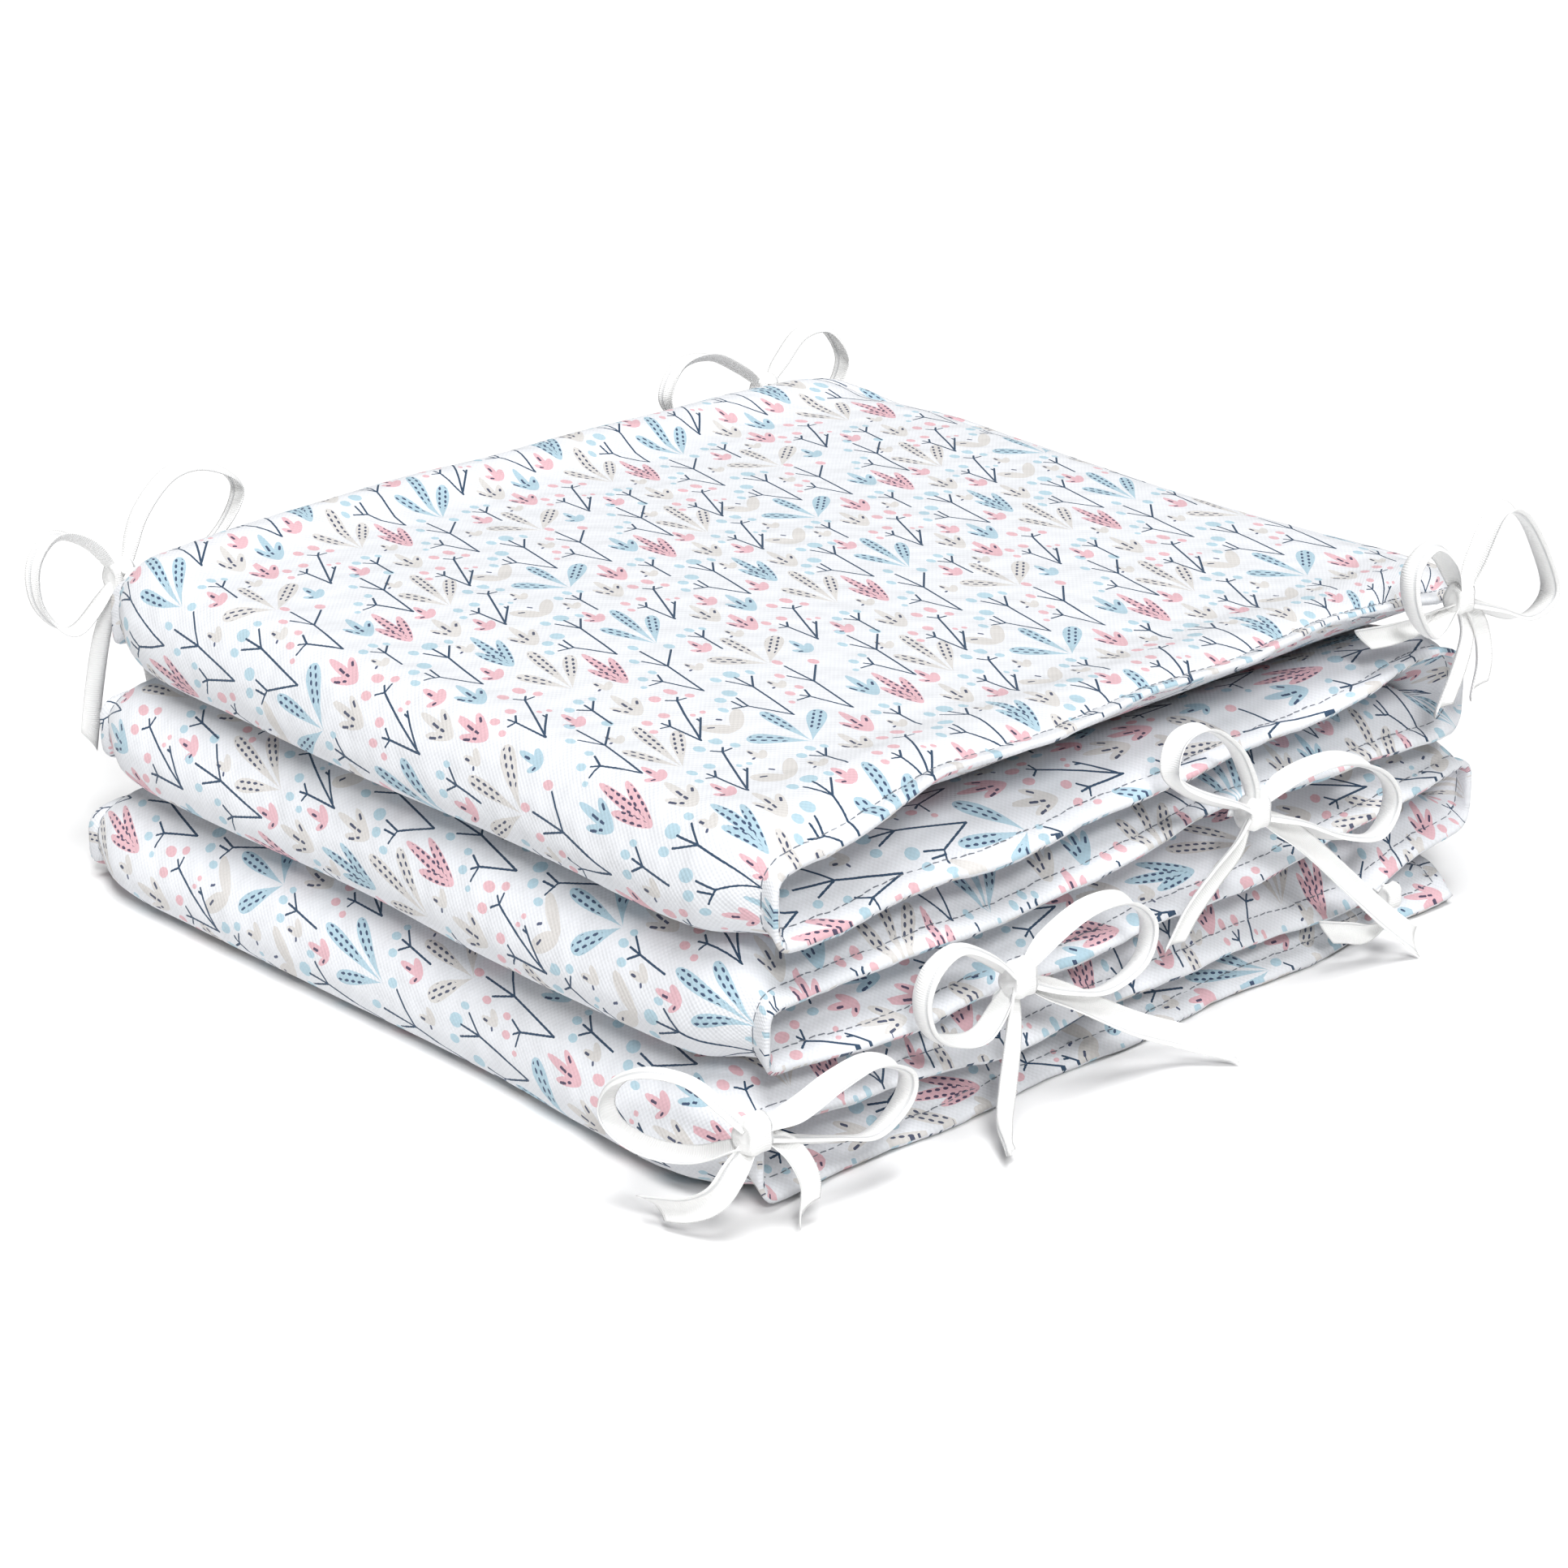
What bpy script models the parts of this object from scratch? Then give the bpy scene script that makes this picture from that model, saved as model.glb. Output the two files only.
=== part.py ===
"""A padded crib bumper, folded back and forth into six layers, with its tape ties in bows.

The bumper is one long quilt band: two faces of printed cotton over wadding, seamed all round.
It lies folded, so its long seams face -Y (front) and +Y (back), its folds face -X and +X, and
its two ends stop at +X. Each tie is a woven tape caught in a long seam and tied in a bow.
The origin is the middle of the flat underside. Tables are in millimetres, and +Z is up.
"""

import math

import bmesh
import bpy
from mathutils import Vector

MM = 0.001

# Folded band
BAND_WIDTH = 305.0          # front seam to back seam
LAYER_COUNT = 6
LAYER_PITCH = 17.6          # height from one layer's middle to the next
HALF_THICKNESS = 7.75       # of the filled band, away from its seams
HALF_LIP = 1.1              # of the seamed edge: two cloths and their turnings
LIP_DEPTH = 5.0             # flat seamed edge outside the topstitching
SHOULDER = 22.0             # distance over which the filling swells to full thickness
DROOP_REACH = 38.0          # how far in from a seam its rise or droop is felt
SEAM_SLOPE = 2.5            # how far the seamed edge falls away from the cloth just inside it
TOP_BACK_SLOPE = 6.0        # the same at the top layer's back seam
TOP_CROWN = 3.5             # extra swell in the middle of the top layer
CROWN_SPAN = 345.0          # width of the arch that this swell follows
SEGMENTS_PER_LAYER = 8
SEGMENTS_PER_FOLD = 6

# Tape ties
TAPE_WIDTH = 10.0
TAPE_THICKNESS = 1.2
STEPS_PER_POINT = 2         # parts of a tape's curve between two points of its route

# Where the middle of the band turns, one row for each fold from the top down:
# the layer above it, the x of the turn's centre, and the side it turns on.
FOLDS = (
    (1, -137.5, -1),
    (2, 127.5, 1),
    (3, -140.5, -1),
    (4, 137.0, 1),
    (5, -143.5, -1),
)

# Height of each layer's front seam along the band: x, then layers 1 to 6.
FRONT_LIPS = (
    (-150, 93.0, 73.0, 58.0, 39.0, 26.0, 3.0),
    (-120, 98.0, 73.0, 57.0, 37.0, 22.0, 2.0),
    (-90, 105.0, 75.0, 58.0, 35.0, 19.0, 1.8),
    (-60, 105.0, 74.0, 56.0, 36.0, 16.0, 1.6),
    (-30, 106.0, 75.5, 58.0, 35.0, 16.5, 1.6),
    (0, 107.0, 77.5, 61.5, 35.5, 16.5, 1.8),
    (30, 107.0, 79.5, 64.0, 36.0, 17.0, 2.0),
    (60, 108.0, 79.5, 62.0, 37.0, 14.5, 1.8),
    (90, 109.0, 83.0, 60.0, 40.0, 14.5, 1.6),
    (120, 107.0, 86.5, 59.0, 44.0, 21.0, 2.0),
    (150, 103.0, 82.0, 59.0, 46.0, 24.0, 3.0),
)

# The same for the back seam.
BACK_LIPS = (
    (-150, 93.5, 75.0, 58.0, 39.0, 24.0, 3.0),
    (-75, 101.5, 76.0, 56.0, 38.0, 20.0, 1.8),
    (0, 102.5, 73.0, 57.0, 37.0, 18.0, 1.6),
    (75, 102.5, 75.0, 55.0, 39.0, 20.0, 1.8),
    (150, 100.5, 78.0, 57.0, 41.0, 23.0, 3.0),
)

# How much further out each fold bulges than its centre line says: y, then folds 1 to 5.
FOLD_BULGES = (
    (-152, 0.0, 0.0, 0.0, 1.0, 0.5),
    (-110, 2.0, 2.5, 1.5, 3.0, 2.0),
    (-50, 0.5, 1.0, 3.0, 2.0, 0.0),
    (20, 2.5, 3.0, 1.0, 0.5, 2.5),
    (90, 1.0, 2.0, 4.0, 2.5, 5.5),
    (152, 0.0, 1.0, 4.0, 1.0, 7.5),
)

# The long seams wander in and out, by a different phase on each layer.
SEAM_WANDER = 1.2
SEAM_WAVE = 74.0            # length of one wave along the band
SEAM_PHASE = 1.9            # step in phase from layer to layer

# How far the free end of the top layer reaches, from the front seam to the back one: y, x.
TOP_END = (
    (-152, 131),
    (-140, 149),
    (-122, 163),
    (-104, 165),
    (-40, 160),
    (60, 166),
    (100, 169),
    (122, 163),
    (140, 151),
    (152, 143),
)
TOP_END_X = 160.0

# The same for the free end of the bottom layer.
BOTTOM_END = (
    (-152, 138),
    (-140, 143),
    (-116, 146),
    (0, 149),
    (120, 146),
    (140, 143),
    (152, 137),
)
BOTTOM_END_X = 146.0
END_STRETCH_FROM = 60.0     # an end's unevenness fades out by here

# Distances from a long seam where the cloth's rise is modelled, out to the middle of the band.
SEAM_STATIONS = (0.0, LIP_DEPTH, 9.0, 16.0, 27.0, 45.0, 95.0, BAND_WIDTH / 2)
# The same from a free end.
END_STATIONS = (0.0, LIP_DEPTH, 10.0, 19.0)

# Directions that a tape is laid out in: along the cloth, and out from it.
HEADINGS = {
    "front": {"along": (1.0, 0.0, 0.0), "out": (0.0, -1.0, 0.0)},
    "back": {"along": (1.0, 0.0, 0.0), "out": (0.0, 1.0, 0.0)},
    "fold": {"along": (-0.2, 0.98, 0.0), "out": (-0.98, -0.2, 0.0)},
}

# Each tie: its knot, then the runs of its tape. Loops come first, then tails, and last the
# short run from the seam. A run's point is (along, out, up, roll), measured from the knot.
# Roll is 0 where the tape's width points out from the seam, and 90 where it lies flat against it.
TIES = {
    "tie_front_corner": {
        "knot": (-161.0, -158.5, 29.5),
        "knot_size": (11.0, 9.0, 12.0),
        "runs": (
            ("fold", ((1, 2, 2, 20), (6, 5, 8, 25), (14, 8, 14, 25), (26, 10, 14, 15), (37, 10, 8, 5),
                      (41, 10, 0, 0), (37, 10, -6, 5), (27, 9, -9, 15), (14, 7, -8, 20), (2, 3, -3, 20))),
            ("front", ((2, 1, 1, 20), (12, 3, 3, 30), (24, 5, 8, 25), (38, 5, 9, 10), (49, 5, 3, 0),
                       (49, 4, -6, 0), (38, 4, -12, 10), (24, 3, -9, 25), (3, 1, -2, 20))),
            ("front", ((3, 1, -1, 55), (8, 5, -6, 70), (12, 7, -15, 85), (11, 8, -24, 85))),
            ("fold", ((0, 1, -2, 60), (1, 6, -8, 80), (5, 9, -16, 85), (13, 11, -21, 84),
                      (24, 12, -23.5, 84))),
            ("front", ((0, 0, 1, 90), (3, -2, -1, 90), (6, -5, -3, 90))),
        ),
    },
    "tie_front_middle": {
        "knot": (-66.5, -161.5, 44.0),
        "knot_size": (11.0, 9.0, 12.0),
        "runs": (
            ("front", ((-2, 0, 1, 0), (-14, 1, 11, 10), (-27, 2, 18, 10), (-36, 2, 15, 0), (-39, 1, 6, 0),
                       (-36, 1, -4, 0), (-27, 1, -10, 10), (-15, 1, -12, 10), (-3, 0, -3, 0))),
            ("front", ((2, 0, 1, 0), (10, 2, 9, 10), (24, 3, 14, 15), (39, 3, 12, 10), (49, 2, 2, 0),
                       (46, 2, -9, 10), (31, 2, -13, 15), (14, 2, -8, 20), (3, 0, -2, 0))),
            ("front", ((-2, 0, -2, 60), (-6, 3, -14, 80), (-11, 6, -27, 88), (-16, 10, -35, 88),
                       (-21, 18, -39, 89))),
            ("front", ((2, 0, -2, 60), (16, 3, -10, 60), (40, 5, -25, 70), (58, 8, -34, 80),
                       (70, 17, -38.5, 86))),
            ("front", ((0, 0, -1, 90), (0, -4, -4, 90), (0, -7.5, -8, 90))),
        ),
    },
    "tie_front_right": {
        "knot": (29.0, -161.5, 65.5),
        "knot_size": (11.0, 9.0, 12.0),
        "runs": (
            ("front", ((-2, 0, 1, 0), (-12, 1, 6, 15), (-28, 2, 14, 10), (-38, 2, 22, 0), (-35, 1, 31, 0),
                       (-24, 1, 32, 0), (-12, 1, 23, 0), (-4, 0, 11, 0), (-1, 0, 3, 0))),
            ("front", ((2, 0, 1, 0), (14, 2, 7, 15), (34, 3, 7, 15), (52, 3, -1, 5), (61, 2, -13, 0),
                       (54, 2, -22, 5), (37, 2, -18, 15), (17, 2, -8, 20), (3, 0, -2, 0))),
            ("front", ((-2, 0, -2, 60), (-10, 3, -7, 75), (-22, 5, -12, 80), (-33, 6, -19, 85),
                       (-41, 7, -27, 85))),
            ("front", ((2, 0, -2, 60), (16, 3, -12, 70), (36, 5, -30, 75), (56, 6, -48, 80),
                       (70, 8, -60, 85))),
            ("front", ((0, 0, 0, 90), (0, -4, -1, 90), (0, -7.5, -2, 90))),
        ),
    },
    "tie_top_end": {
        "knot": (122.0, -159.5, 107.0),
        "knot_size": (10.0, 8.0, 11.0),
        "runs": (
            ("front", ((-1, 0, 2, 0), (-9, 1, 14, 10), (-20, 2, 21, 10), (-28, 2, 15, 0), (-26, 2, 3, 0),
                       (-15, 1, -8, 10), (-3, 0, -3, 0))),
            ("front", ((2, 0, 1, 0), (5, 2, 12, 10), (12, 3, 24, 10), (22, 3, 22, 10), (34, 3, 7, 0),
                       (42, 2, -8, 0), (31, 2, -13, 10), (15, 2, -7, 15), (3, 0, -2, 0))),
            ("front", ((0, 0, -3, 60), (1, 2, -11, 80), (-3, 3, -20, 85), (-11, 4, -32, 85))),
            ("front", ((2, 0, -2, 60), (7, 2, -10, 80), (9, 3, -21, 88), (6, 4, -30, 88))),
            ("front", ((0, 0, -2, 60), (-9, -3, -5, 75), (-20, -8, -8, 86), (-32, -11, -8, 88))),
        ),
    },
    "tie_back_corner": {
        "knot": (-136.0, 162.0, 93.0),
        "knot_size": (11.0, 9.0, 12.0),
        "runs": (
            ("back", ((-2, 1, 2, 0), (-10, 2, 12, 10), (-21, 2, 17, 5), (-29, 2, 9, 0), (-28, 2, -5, 0),
                      (-18, 1, -14, 5), (-3, 1, -2, 0))),
            ("back", ((2, 1, 2, 0), (9, 3, 17, 10), (22, 4, 28, 10), (36, 4, 28, 10), (48, 3, 18, 0),
                      (38, 2, 4, 10), (18, 1, -4, 15), (3, 1, -2, 0))),
            ("back", ((-1, 0, -3, 60), (-6, 2, -18, 80), (-10, 3, -36, 85), (-13, 4, -54, 85))),
            ("back", ((2, 0, -2, 60), (8, 2, -16, 80), (12, 3, -34, 85), (15, 4, -50, 85))),
            ("back", ((0, 0, 1, 90), (0, -4, 2, 90), (0, -8, 2, 90))),
        ),
    },
    "tie_back_end": {
        "knot": (138.0, 162.0, 99.0),
        "knot_size": (11.0, 9.0, 12.0),
        "runs": (
            ("back", ((-2, 1, 2, 0), (-11, 2, 9, 10), (-24, 3, 16, 10), (-38, 3, 15, 5), (-45, 2, 4, 0),
                      (-35, 2, -6, 10), (-17, 1, -6, 15), (-3, 1, -2, 0))),
            ("back", ((2, 1, 2, 0), (9, 2, 9, 10), (20, 3, 17, 10), (33, 3, 16, 5), (41, 2, 3, 0),
                      (33, 2, -9, 10), (16, 1, -7, 15), (3, 1, -2, 0))),
            ("back", ((-1, 0, -3, 60), (-7, 2, -18, 80), (-10, 3, -34, 85), (-16, 4, -50, 85))),
            ("back", ((2, 0, -2, 60), (9, 2, -16, 80), (13, 3, -32, 85), (14, 4, -46, 85))),
            ("back", ((0, 0, 1, 90), (-1, -4, 1, 90), (-2, -8, 1, 90))),
        ),
    },
    "tie_low_right": {
        "knot": (94.0, -162.5, 19.5),
        "knot_size": (8.0, 6.0, 9.0),
        "runs": (
            ("front", ((0, 0, 0, 60), (-4, 1, -6, 65), (-11, 0.5, -8, 72), (-18, -2, -6.5, 80),
                       (-25, -4.5, -5, 85))),
            ("front", ((0, 0, 0, 90), (0, -2, 0, 90), (0, -5, 1, 90))),
        ),
    },
}

COTTON = ("printed_cotton", (0.93, 0.94, 0.96), 0.9)
TAPE = ("cotton_tape", (0.95, 0.95, 0.95), 0.85)


def clear_scene():
    for obj in list(bpy.data.objects):
        bpy.data.objects.remove(obj, do_unlink=True)


def new_collection(name):
    collection = bpy.data.collections.new(name)
    bpy.context.scene.collection.children.link(collection)
    return collection


def make_material(name, colour, roughness):
    material = bpy.data.materials.new(name)
    material.use_nodes = True
    shader = material.node_tree.nodes["Principled BSDF"]
    shader.inputs["Base Color"].default_value = (*colour, 1.0)
    shader.inputs["Roughness"].default_value = roughness
    shader.inputs["Metallic"].default_value = 0.0
    return material


def read_table(rows, column, at):
    """The value in a column where the first column equals at, along straight lines between rows."""
    if at <= rows[0][0]:
        return rows[0][column]
    for low, high in zip(rows, rows[1:]):
        if at <= high[0]:
            share = (at - low[0]) / (high[0] - low[0])
            return low[column] + share * (high[column] - low[column])
    return rows[-1][column]


def layer_height(layer):
    """Height of a layer's middle, with layer 6 lying on the surface."""
    return HALF_THICKNESS + (LAYER_COUNT - layer) * LAYER_PITCH


def swell(distance):
    """Share of the full thickness at a distance in from a seam: flat lip, then an easy shoulder."""
    run = min(max((distance - LIP_DEPTH) / SHOULDER, 0.0), 1.0)
    return math.sin(math.pi / 2 * run)


def centre_stations():
    """The band's middle line as (x, z, angle, layer, distance to a free end), from the top end down.

    The angle is the direction of travel in the XZ plane. Layer is a whole number on the flat
    runs and lies between two layers in a fold.
    """
    turn_radius = LAYER_PITCH / 2
    starts = [TOP_END_X] + [fold[1] for fold in FOLDS]
    ends = [fold[1] for fold in FOLDS] + [BOTTOM_END_X]
    stations = []
    for layer in range(1, LAYER_COUNT + 1):
        start, end = starts[layer - 1], ends[layer - 1]
        angle = math.pi if layer % 2 else 0.0
        xs = [start + (end - start) * i / SEGMENTS_PER_LAYER for i in range(SEGMENTS_PER_LAYER + 1)]
        if layer == 1:
            xs = [start - step for step in END_STATIONS] + xs[1:]
        if layer == LAYER_COUNT:
            xs = xs[:-1] + [end - step for step in reversed(END_STATIONS)]
        if layer > 1:
            xs = xs[1:]
        for x in xs:
            to_end = start - x if layer == 1 else end - x if layer == LAYER_COUNT else BAND_WIDTH
            stations.append((x, layer_height(layer), angle, float(layer), to_end))
        if layer == LAYER_COUNT:
            break
        _, centre_x, side = FOLDS[layer - 1]
        middle_z = (layer_height(layer) + layer_height(layer + 1)) / 2
        for i in range(1, SEGMENTS_PER_FOLD + 1):
            turn = math.pi * i / SEGMENTS_PER_FOLD
            stations.append((
                centre_x + side * turn_radius * math.sin(turn),
                middle_z + turn_radius * math.cos(turn),
                angle - side * turn,
                layer + i / SEGMENTS_PER_FOLD,
                BAND_WIDTH,
            ))
    return stations


def across_stations():
    """Positions across the band as (y, distance from the nearer long seam)."""
    front = [(-BAND_WIDTH / 2 + d, d) for d in SEAM_STATIONS]
    back = [(BAND_WIDTH / 2 - d, d) for d in reversed(SEAM_STATIONS[:-1])]
    return front + back


def lip_rise(layer, x, front):
    """How far the seam of a layer lies above or below the layer's middle."""
    table = FRONT_LIPS if front else BACK_LIPS
    upper = min(int(layer), LAYER_COUNT - 1)
    share = layer - upper
    heights = [read_table(table, upper + step, x) - layer_height(upper + step) for step in (0, 1)]
    return heights[0] + share * (heights[1] - heights[0])


def fold_bulge(layer, y):
    """How far the cloth of a fold stands out beyond its centre line, to the side it turns on."""
    upper = int(layer)
    _, _, side = FOLDS[upper - 1]
    share = math.sin(math.pi * (layer - upper))
    return side * share * read_table(FOLD_BULGES, upper, y)


def seam_wander(layer, x, from_seam):
    """How far in a seam is drawn, fading to nothing over the shoulder."""
    fade = max(0.0, 1.0 - from_seam / SHOULDER)
    return fade * SEAM_WANDER * (1.0 + math.sin(2 * math.pi * x / SEAM_WAVE + SEAM_PHASE * layer))


def band_point(station, y, from_seam, face):
    """A point of the band's skin: face 1 is the side that the top layer shows, and -1 the other."""
    x, z, angle, layer, to_end = station
    half = HALF_LIP + (HALF_THICKNESS - HALF_LIP) * swell(from_seam) * swell(to_end)
    point_x = x + face * half * math.sin(angle)
    point_y = y - math.copysign(seam_wander(layer, x, from_seam), y)
    point_z = z - face * half * math.cos(angle)
    near = max(0.0, 1.0 - from_seam / DROOP_REACH)
    point_z += near ** 2 * lip_rise(layer, x, y < 0)
    slope = SEAM_SLOPE
    if y > 0:
        slope += (TOP_BACK_SLOPE - SEAM_SLOPE) * max(0.0, 2.0 - layer)
    point_z += slope * 6.75 * (1.0 - near) * near ** 2 * min(point_z / 4.0, 1.0)
    if layer % 1.0:
        point_x += fold_bulge(layer, y)
    if layer in (1.0, LAYER_COUNT) and x > END_STRETCH_FROM:
        end_x, outline = (TOP_END_X, TOP_END) if layer == 1.0 else (BOTTOM_END_X, BOTTOM_END)
        share = (x - END_STRETCH_FROM) / (end_x - END_STRETCH_FROM)
        point_x += share * (read_table(outline, 1, y) - end_x)
    if layer == 1.0 and face > 0:
        arch = math.cos(math.pi * y / CROWN_SPAN)
        point_z += TOP_CROWN * arch * swell(from_seam) * swell(to_end) * swell((x - FOLDS[0][1]) / 2)
    return Vector((point_x, point_y, max(point_z, 0.0))) * MM


def make_pad(collection, material):
    """One loft: both skins of the folded band, joined round all four seamed edges."""
    stations = centre_stations()
    across = across_stations()
    mesh = bmesh.new()
    skins = []
    for face in (1, -1):
        skins.append([
            [mesh.verts.new(band_point(station, y, d, face)) for y, d in across]
            for station in stations
        ])
    shown, hidden = skins
    rows, columns = len(stations), len(across)
    for i in range(rows - 1):
        for j in range(columns - 1):
            mesh.faces.new((shown[i][j], shown[i][j + 1], shown[i + 1][j + 1], shown[i + 1][j]))
            mesh.faces.new((hidden[i][j], hidden[i + 1][j], hidden[i + 1][j + 1], hidden[i][j + 1]))
        for j, order in ((0, 1), (columns - 1, -1)):
            edge = (shown[i][j], shown[i + 1][j], hidden[i + 1][j], hidden[i][j])
            mesh.faces.new(edge[::order])
    for j in range(columns - 1):
        for i, order in ((0, -1), (rows - 1, 1)):
            edge = (shown[i][j], shown[i][j + 1], hidden[i][j + 1], hidden[i][j])
            mesh.faces.new(edge[::order])
    bmesh.ops.recalc_face_normals(mesh, faces=mesh.faces)
    return finish_mesh(mesh, "pad", collection, material)


def finish_mesh(mesh, name, collection, material):
    data = bpy.data.meshes.new(name)
    mesh.to_mesh(data)
    mesh.free()
    data.materials.append(material)
    data.shade_smooth()
    data.set_sharp_from_angle(angle=math.radians(50))
    obj = bpy.data.objects.new(name, data)
    collection.objects.link(obj)
    return obj


def smooth_route(points):
    """The points of a route with more between them, on a Catmull-Rom curve through all of them."""
    lead = tuple(2 * a - b for a, b in zip(points[0], points[1]))
    trail = tuple(2 * a - b for a, b in zip(points[-1], points[-2]))
    padded = [lead, *points, trail]
    route = []
    for before, start, end, after in zip(padded, padded[1:], padded[2:], padded[3:]):
        for step in range(STEPS_PER_POINT):
            t = step / STEPS_PER_POINT
            route.append(tuple(
                0.5 * (2 * p1 + (p2 - p0) * t + (2 * p0 - 5 * p1 + 4 * p2 - p3) * t ** 2
                       + (3 * p1 - p0 - 3 * p2 + p3) * t ** 3)
                for p0, p1, p2, p3 in zip(before, start, end, after)
            ))
    route.append(points[-1])
    return route


def tape_edges(heading, route, knot):
    """The two edges of a tape that follows a route, in metres."""
    along = Vector(HEADINGS[heading]["along"]).normalized()
    out = Vector(HEADINGS[heading]["out"]).normalized()
    up = Vector((0.0, 0.0, 1.0))
    centres = [Vector(knot) + along * a + out * o + up * u for a, o, u, _ in route]
    edges = []
    for i, centre in enumerate(centres):
        ahead = centres[min(i + 1, len(centres) - 1)]
        behind = centres[max(i - 1, 0)]
        tangent = (ahead - behind).normalized()
        level = (out - tangent * out.dot(tangent)).normalized()
        flat = tangent.cross(level)
        roll = math.radians(route[i][3])
        across = level * math.cos(roll) + flat * math.sin(roll)
        half = across * (TAPE_WIDTH / 2)
        edges.append(((centre - half) * MM, (centre + half) * MM))
    return edges


def make_tape(name, run, knot, collection, material):
    """One run of tape: an open strip with Solidify."""
    heading, points = run
    mesh = bmesh.new()
    edges = [
        (mesh.verts.new(low), mesh.verts.new(high))
        for low, high in tape_edges(heading, smooth_route(points), knot)
    ]
    for (low, high), (next_low, next_high) in zip(edges, edges[1:]):
        mesh.faces.new((low, high, next_high, next_low))
    obj = finish_mesh(mesh, name, collection, material)
    solidify = obj.modifiers.new("tape_thickness", "SOLIDIFY")
    solidify.thickness = TAPE_THICKNESS * MM
    solidify.offset = 0.0
    obj.hide_render = True
    obj.display_type = "WIRE"
    return obj


def make_tie(name, tie, collection, cutters, material):
    """A tie: its knot, with each run of tape joined to it."""
    mesh = bmesh.new()
    bmesh.ops.create_uvsphere(mesh, u_segments=8, v_segments=6, radius=0.5 * MM)
    bmesh.ops.scale(mesh, vec=Vector(tie["knot_size"]), verts=mesh.verts)
    knot = finish_mesh(mesh, name, collection, material)
    knot.location = Vector(tie["knot"]) * MM
    for number, run in enumerate(tie["runs"], start=1):
        join = knot.modifiers.new(f"join_run_{number}", "BOOLEAN")
        join.operation = "UNION"
        join.object = make_tape(f"{name}_run_{number}", run, tie["knot"], cutters, material)
    return knot


def main():
    clear_scene()
    bumper = new_collection("crib_bumper")
    cutters = new_collection("tape_runs")
    cutters.hide_render = True
    cotton = make_material(*COTTON)
    tape = make_material(*TAPE)
    make_pad(bumper, cotton)
    for name, tie in TIES.items():
        make_tie(name, tie, bumper, cutters, tape)


main()
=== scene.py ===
"""Looks of a padded crib bumper: a printed cotton band folded into six layers, and its tape ties.

Lengths in the tables are millimetres, in the CAD frame: the band's long seams face -Y (front) and
+Y (back), its folds face -X and +X, and +Z is up.
"""
import math

import bmesh
import bpy
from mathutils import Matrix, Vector


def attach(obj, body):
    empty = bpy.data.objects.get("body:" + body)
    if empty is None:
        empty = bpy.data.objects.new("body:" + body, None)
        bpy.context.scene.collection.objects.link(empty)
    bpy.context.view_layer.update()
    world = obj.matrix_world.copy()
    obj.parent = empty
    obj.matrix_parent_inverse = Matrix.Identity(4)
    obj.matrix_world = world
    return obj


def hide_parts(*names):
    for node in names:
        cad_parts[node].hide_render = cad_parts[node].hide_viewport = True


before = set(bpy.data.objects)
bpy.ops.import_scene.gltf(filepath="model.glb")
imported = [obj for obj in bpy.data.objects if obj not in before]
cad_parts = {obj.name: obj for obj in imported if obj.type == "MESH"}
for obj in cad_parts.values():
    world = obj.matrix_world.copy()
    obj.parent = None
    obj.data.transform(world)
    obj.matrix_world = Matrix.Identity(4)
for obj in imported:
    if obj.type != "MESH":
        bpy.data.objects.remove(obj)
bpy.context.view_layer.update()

MM = 0.001
TINY = 0.01  # places nearer than this are the same

# ---- folded band

BAND_WIDTH = 305.0  # front seam to back seam
LAYER_COUNT = 6
LAYER_PITCH = 17.6
HALF_THICKNESS = 7.75  # of the filled band, away from its seams
HALF_LIP = 1.1  # of the seamed edge: two cloths and their turnings
LIP_DEPTH = 5.0  # seamed edge outside the topstitching
LIP_ROUNDING = 0.7  # how far the turned edge stands out past the two faces
SHOULDER = 22.0  # distance over which the filling swells to full thickness
DROOP_REACH = 38.0  # how far in from a seam its rise or droop is felt
SEAM_SLOPE = 2.5  # how far the seamed edge falls away from the cloth just inside it
TOP_BACK_SLOPE = 6.0  # the same at the top layer's back seam
SLOPE_PEAK = 4 / 27  # the most that (1 - near) * near ** 2 can be
FLOOR_FADE = 4.0  # a seam this near the floor has no room to fall away
TOP_CROWN = 3.5  # extra swell in the middle of the top layer
CROWN_SPAN = 345.0
TURN_RADIUS = LAYER_PITCH / 2

# Each fold from the top down: the x of its centre, and the side it turns on.
FOLDS = ((-137.5, -1), (127.5, 1), (-140.5, -1), (137.0, 1), (-143.5, -1))

# Height of each layer's front seam along the band: x, then layers 1 to 6.
FRONT_LIPS = (
    (-150, 93, 73, 58, 39, 26, 3),
    (-120, 98, 73, 57, 37, 22, 2),
    (-90, 105, 75, 58, 35, 19, 1.8),
    (-60, 105, 74, 56, 36, 16, 1.6),
    (-30, 106, 75.5, 58, 35, 16.5, 1.6),
    (0, 107, 77.5, 61.5, 35.5, 16.5, 1.8),
    (30, 107, 79.5, 64, 36, 17, 2),
    (60, 108, 79.5, 62, 37, 14.5, 1.8),
    (90, 109, 83, 60, 40, 14.5, 1.6),
    (120, 107, 86.5, 59, 44, 21, 2),
    (150, 103, 82, 59, 46, 24, 3),
)

# The same for the back seam.
BACK_LIPS = (
    (-150, 93.5, 75, 58, 39, 24, 3),
    (-75, 101.5, 76, 56, 38, 20, 1.8),
    (0, 102.5, 73, 57, 37, 18, 1.6),
    (75, 102.5, 75, 55, 39, 20, 1.8),
    (150, 100.5, 78, 57, 41, 23, 3),
)

# How much further out each fold bulges than its centre line says: y, then folds 1 to 5.
FOLD_BULGES = (
    (-152, 0, 0, 0, 1, 0.5),
    (-110, 2, 2.5, 1.5, 3, 2),
    (-50, 0.5, 1, 3, 2, 0),
    (20, 2.5, 3, 1, 0.5, 2.5),
    (90, 1, 2, 4, 2.5, 5.5),
    (152, 0, 1, 4, 1, 7.5),
)

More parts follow.
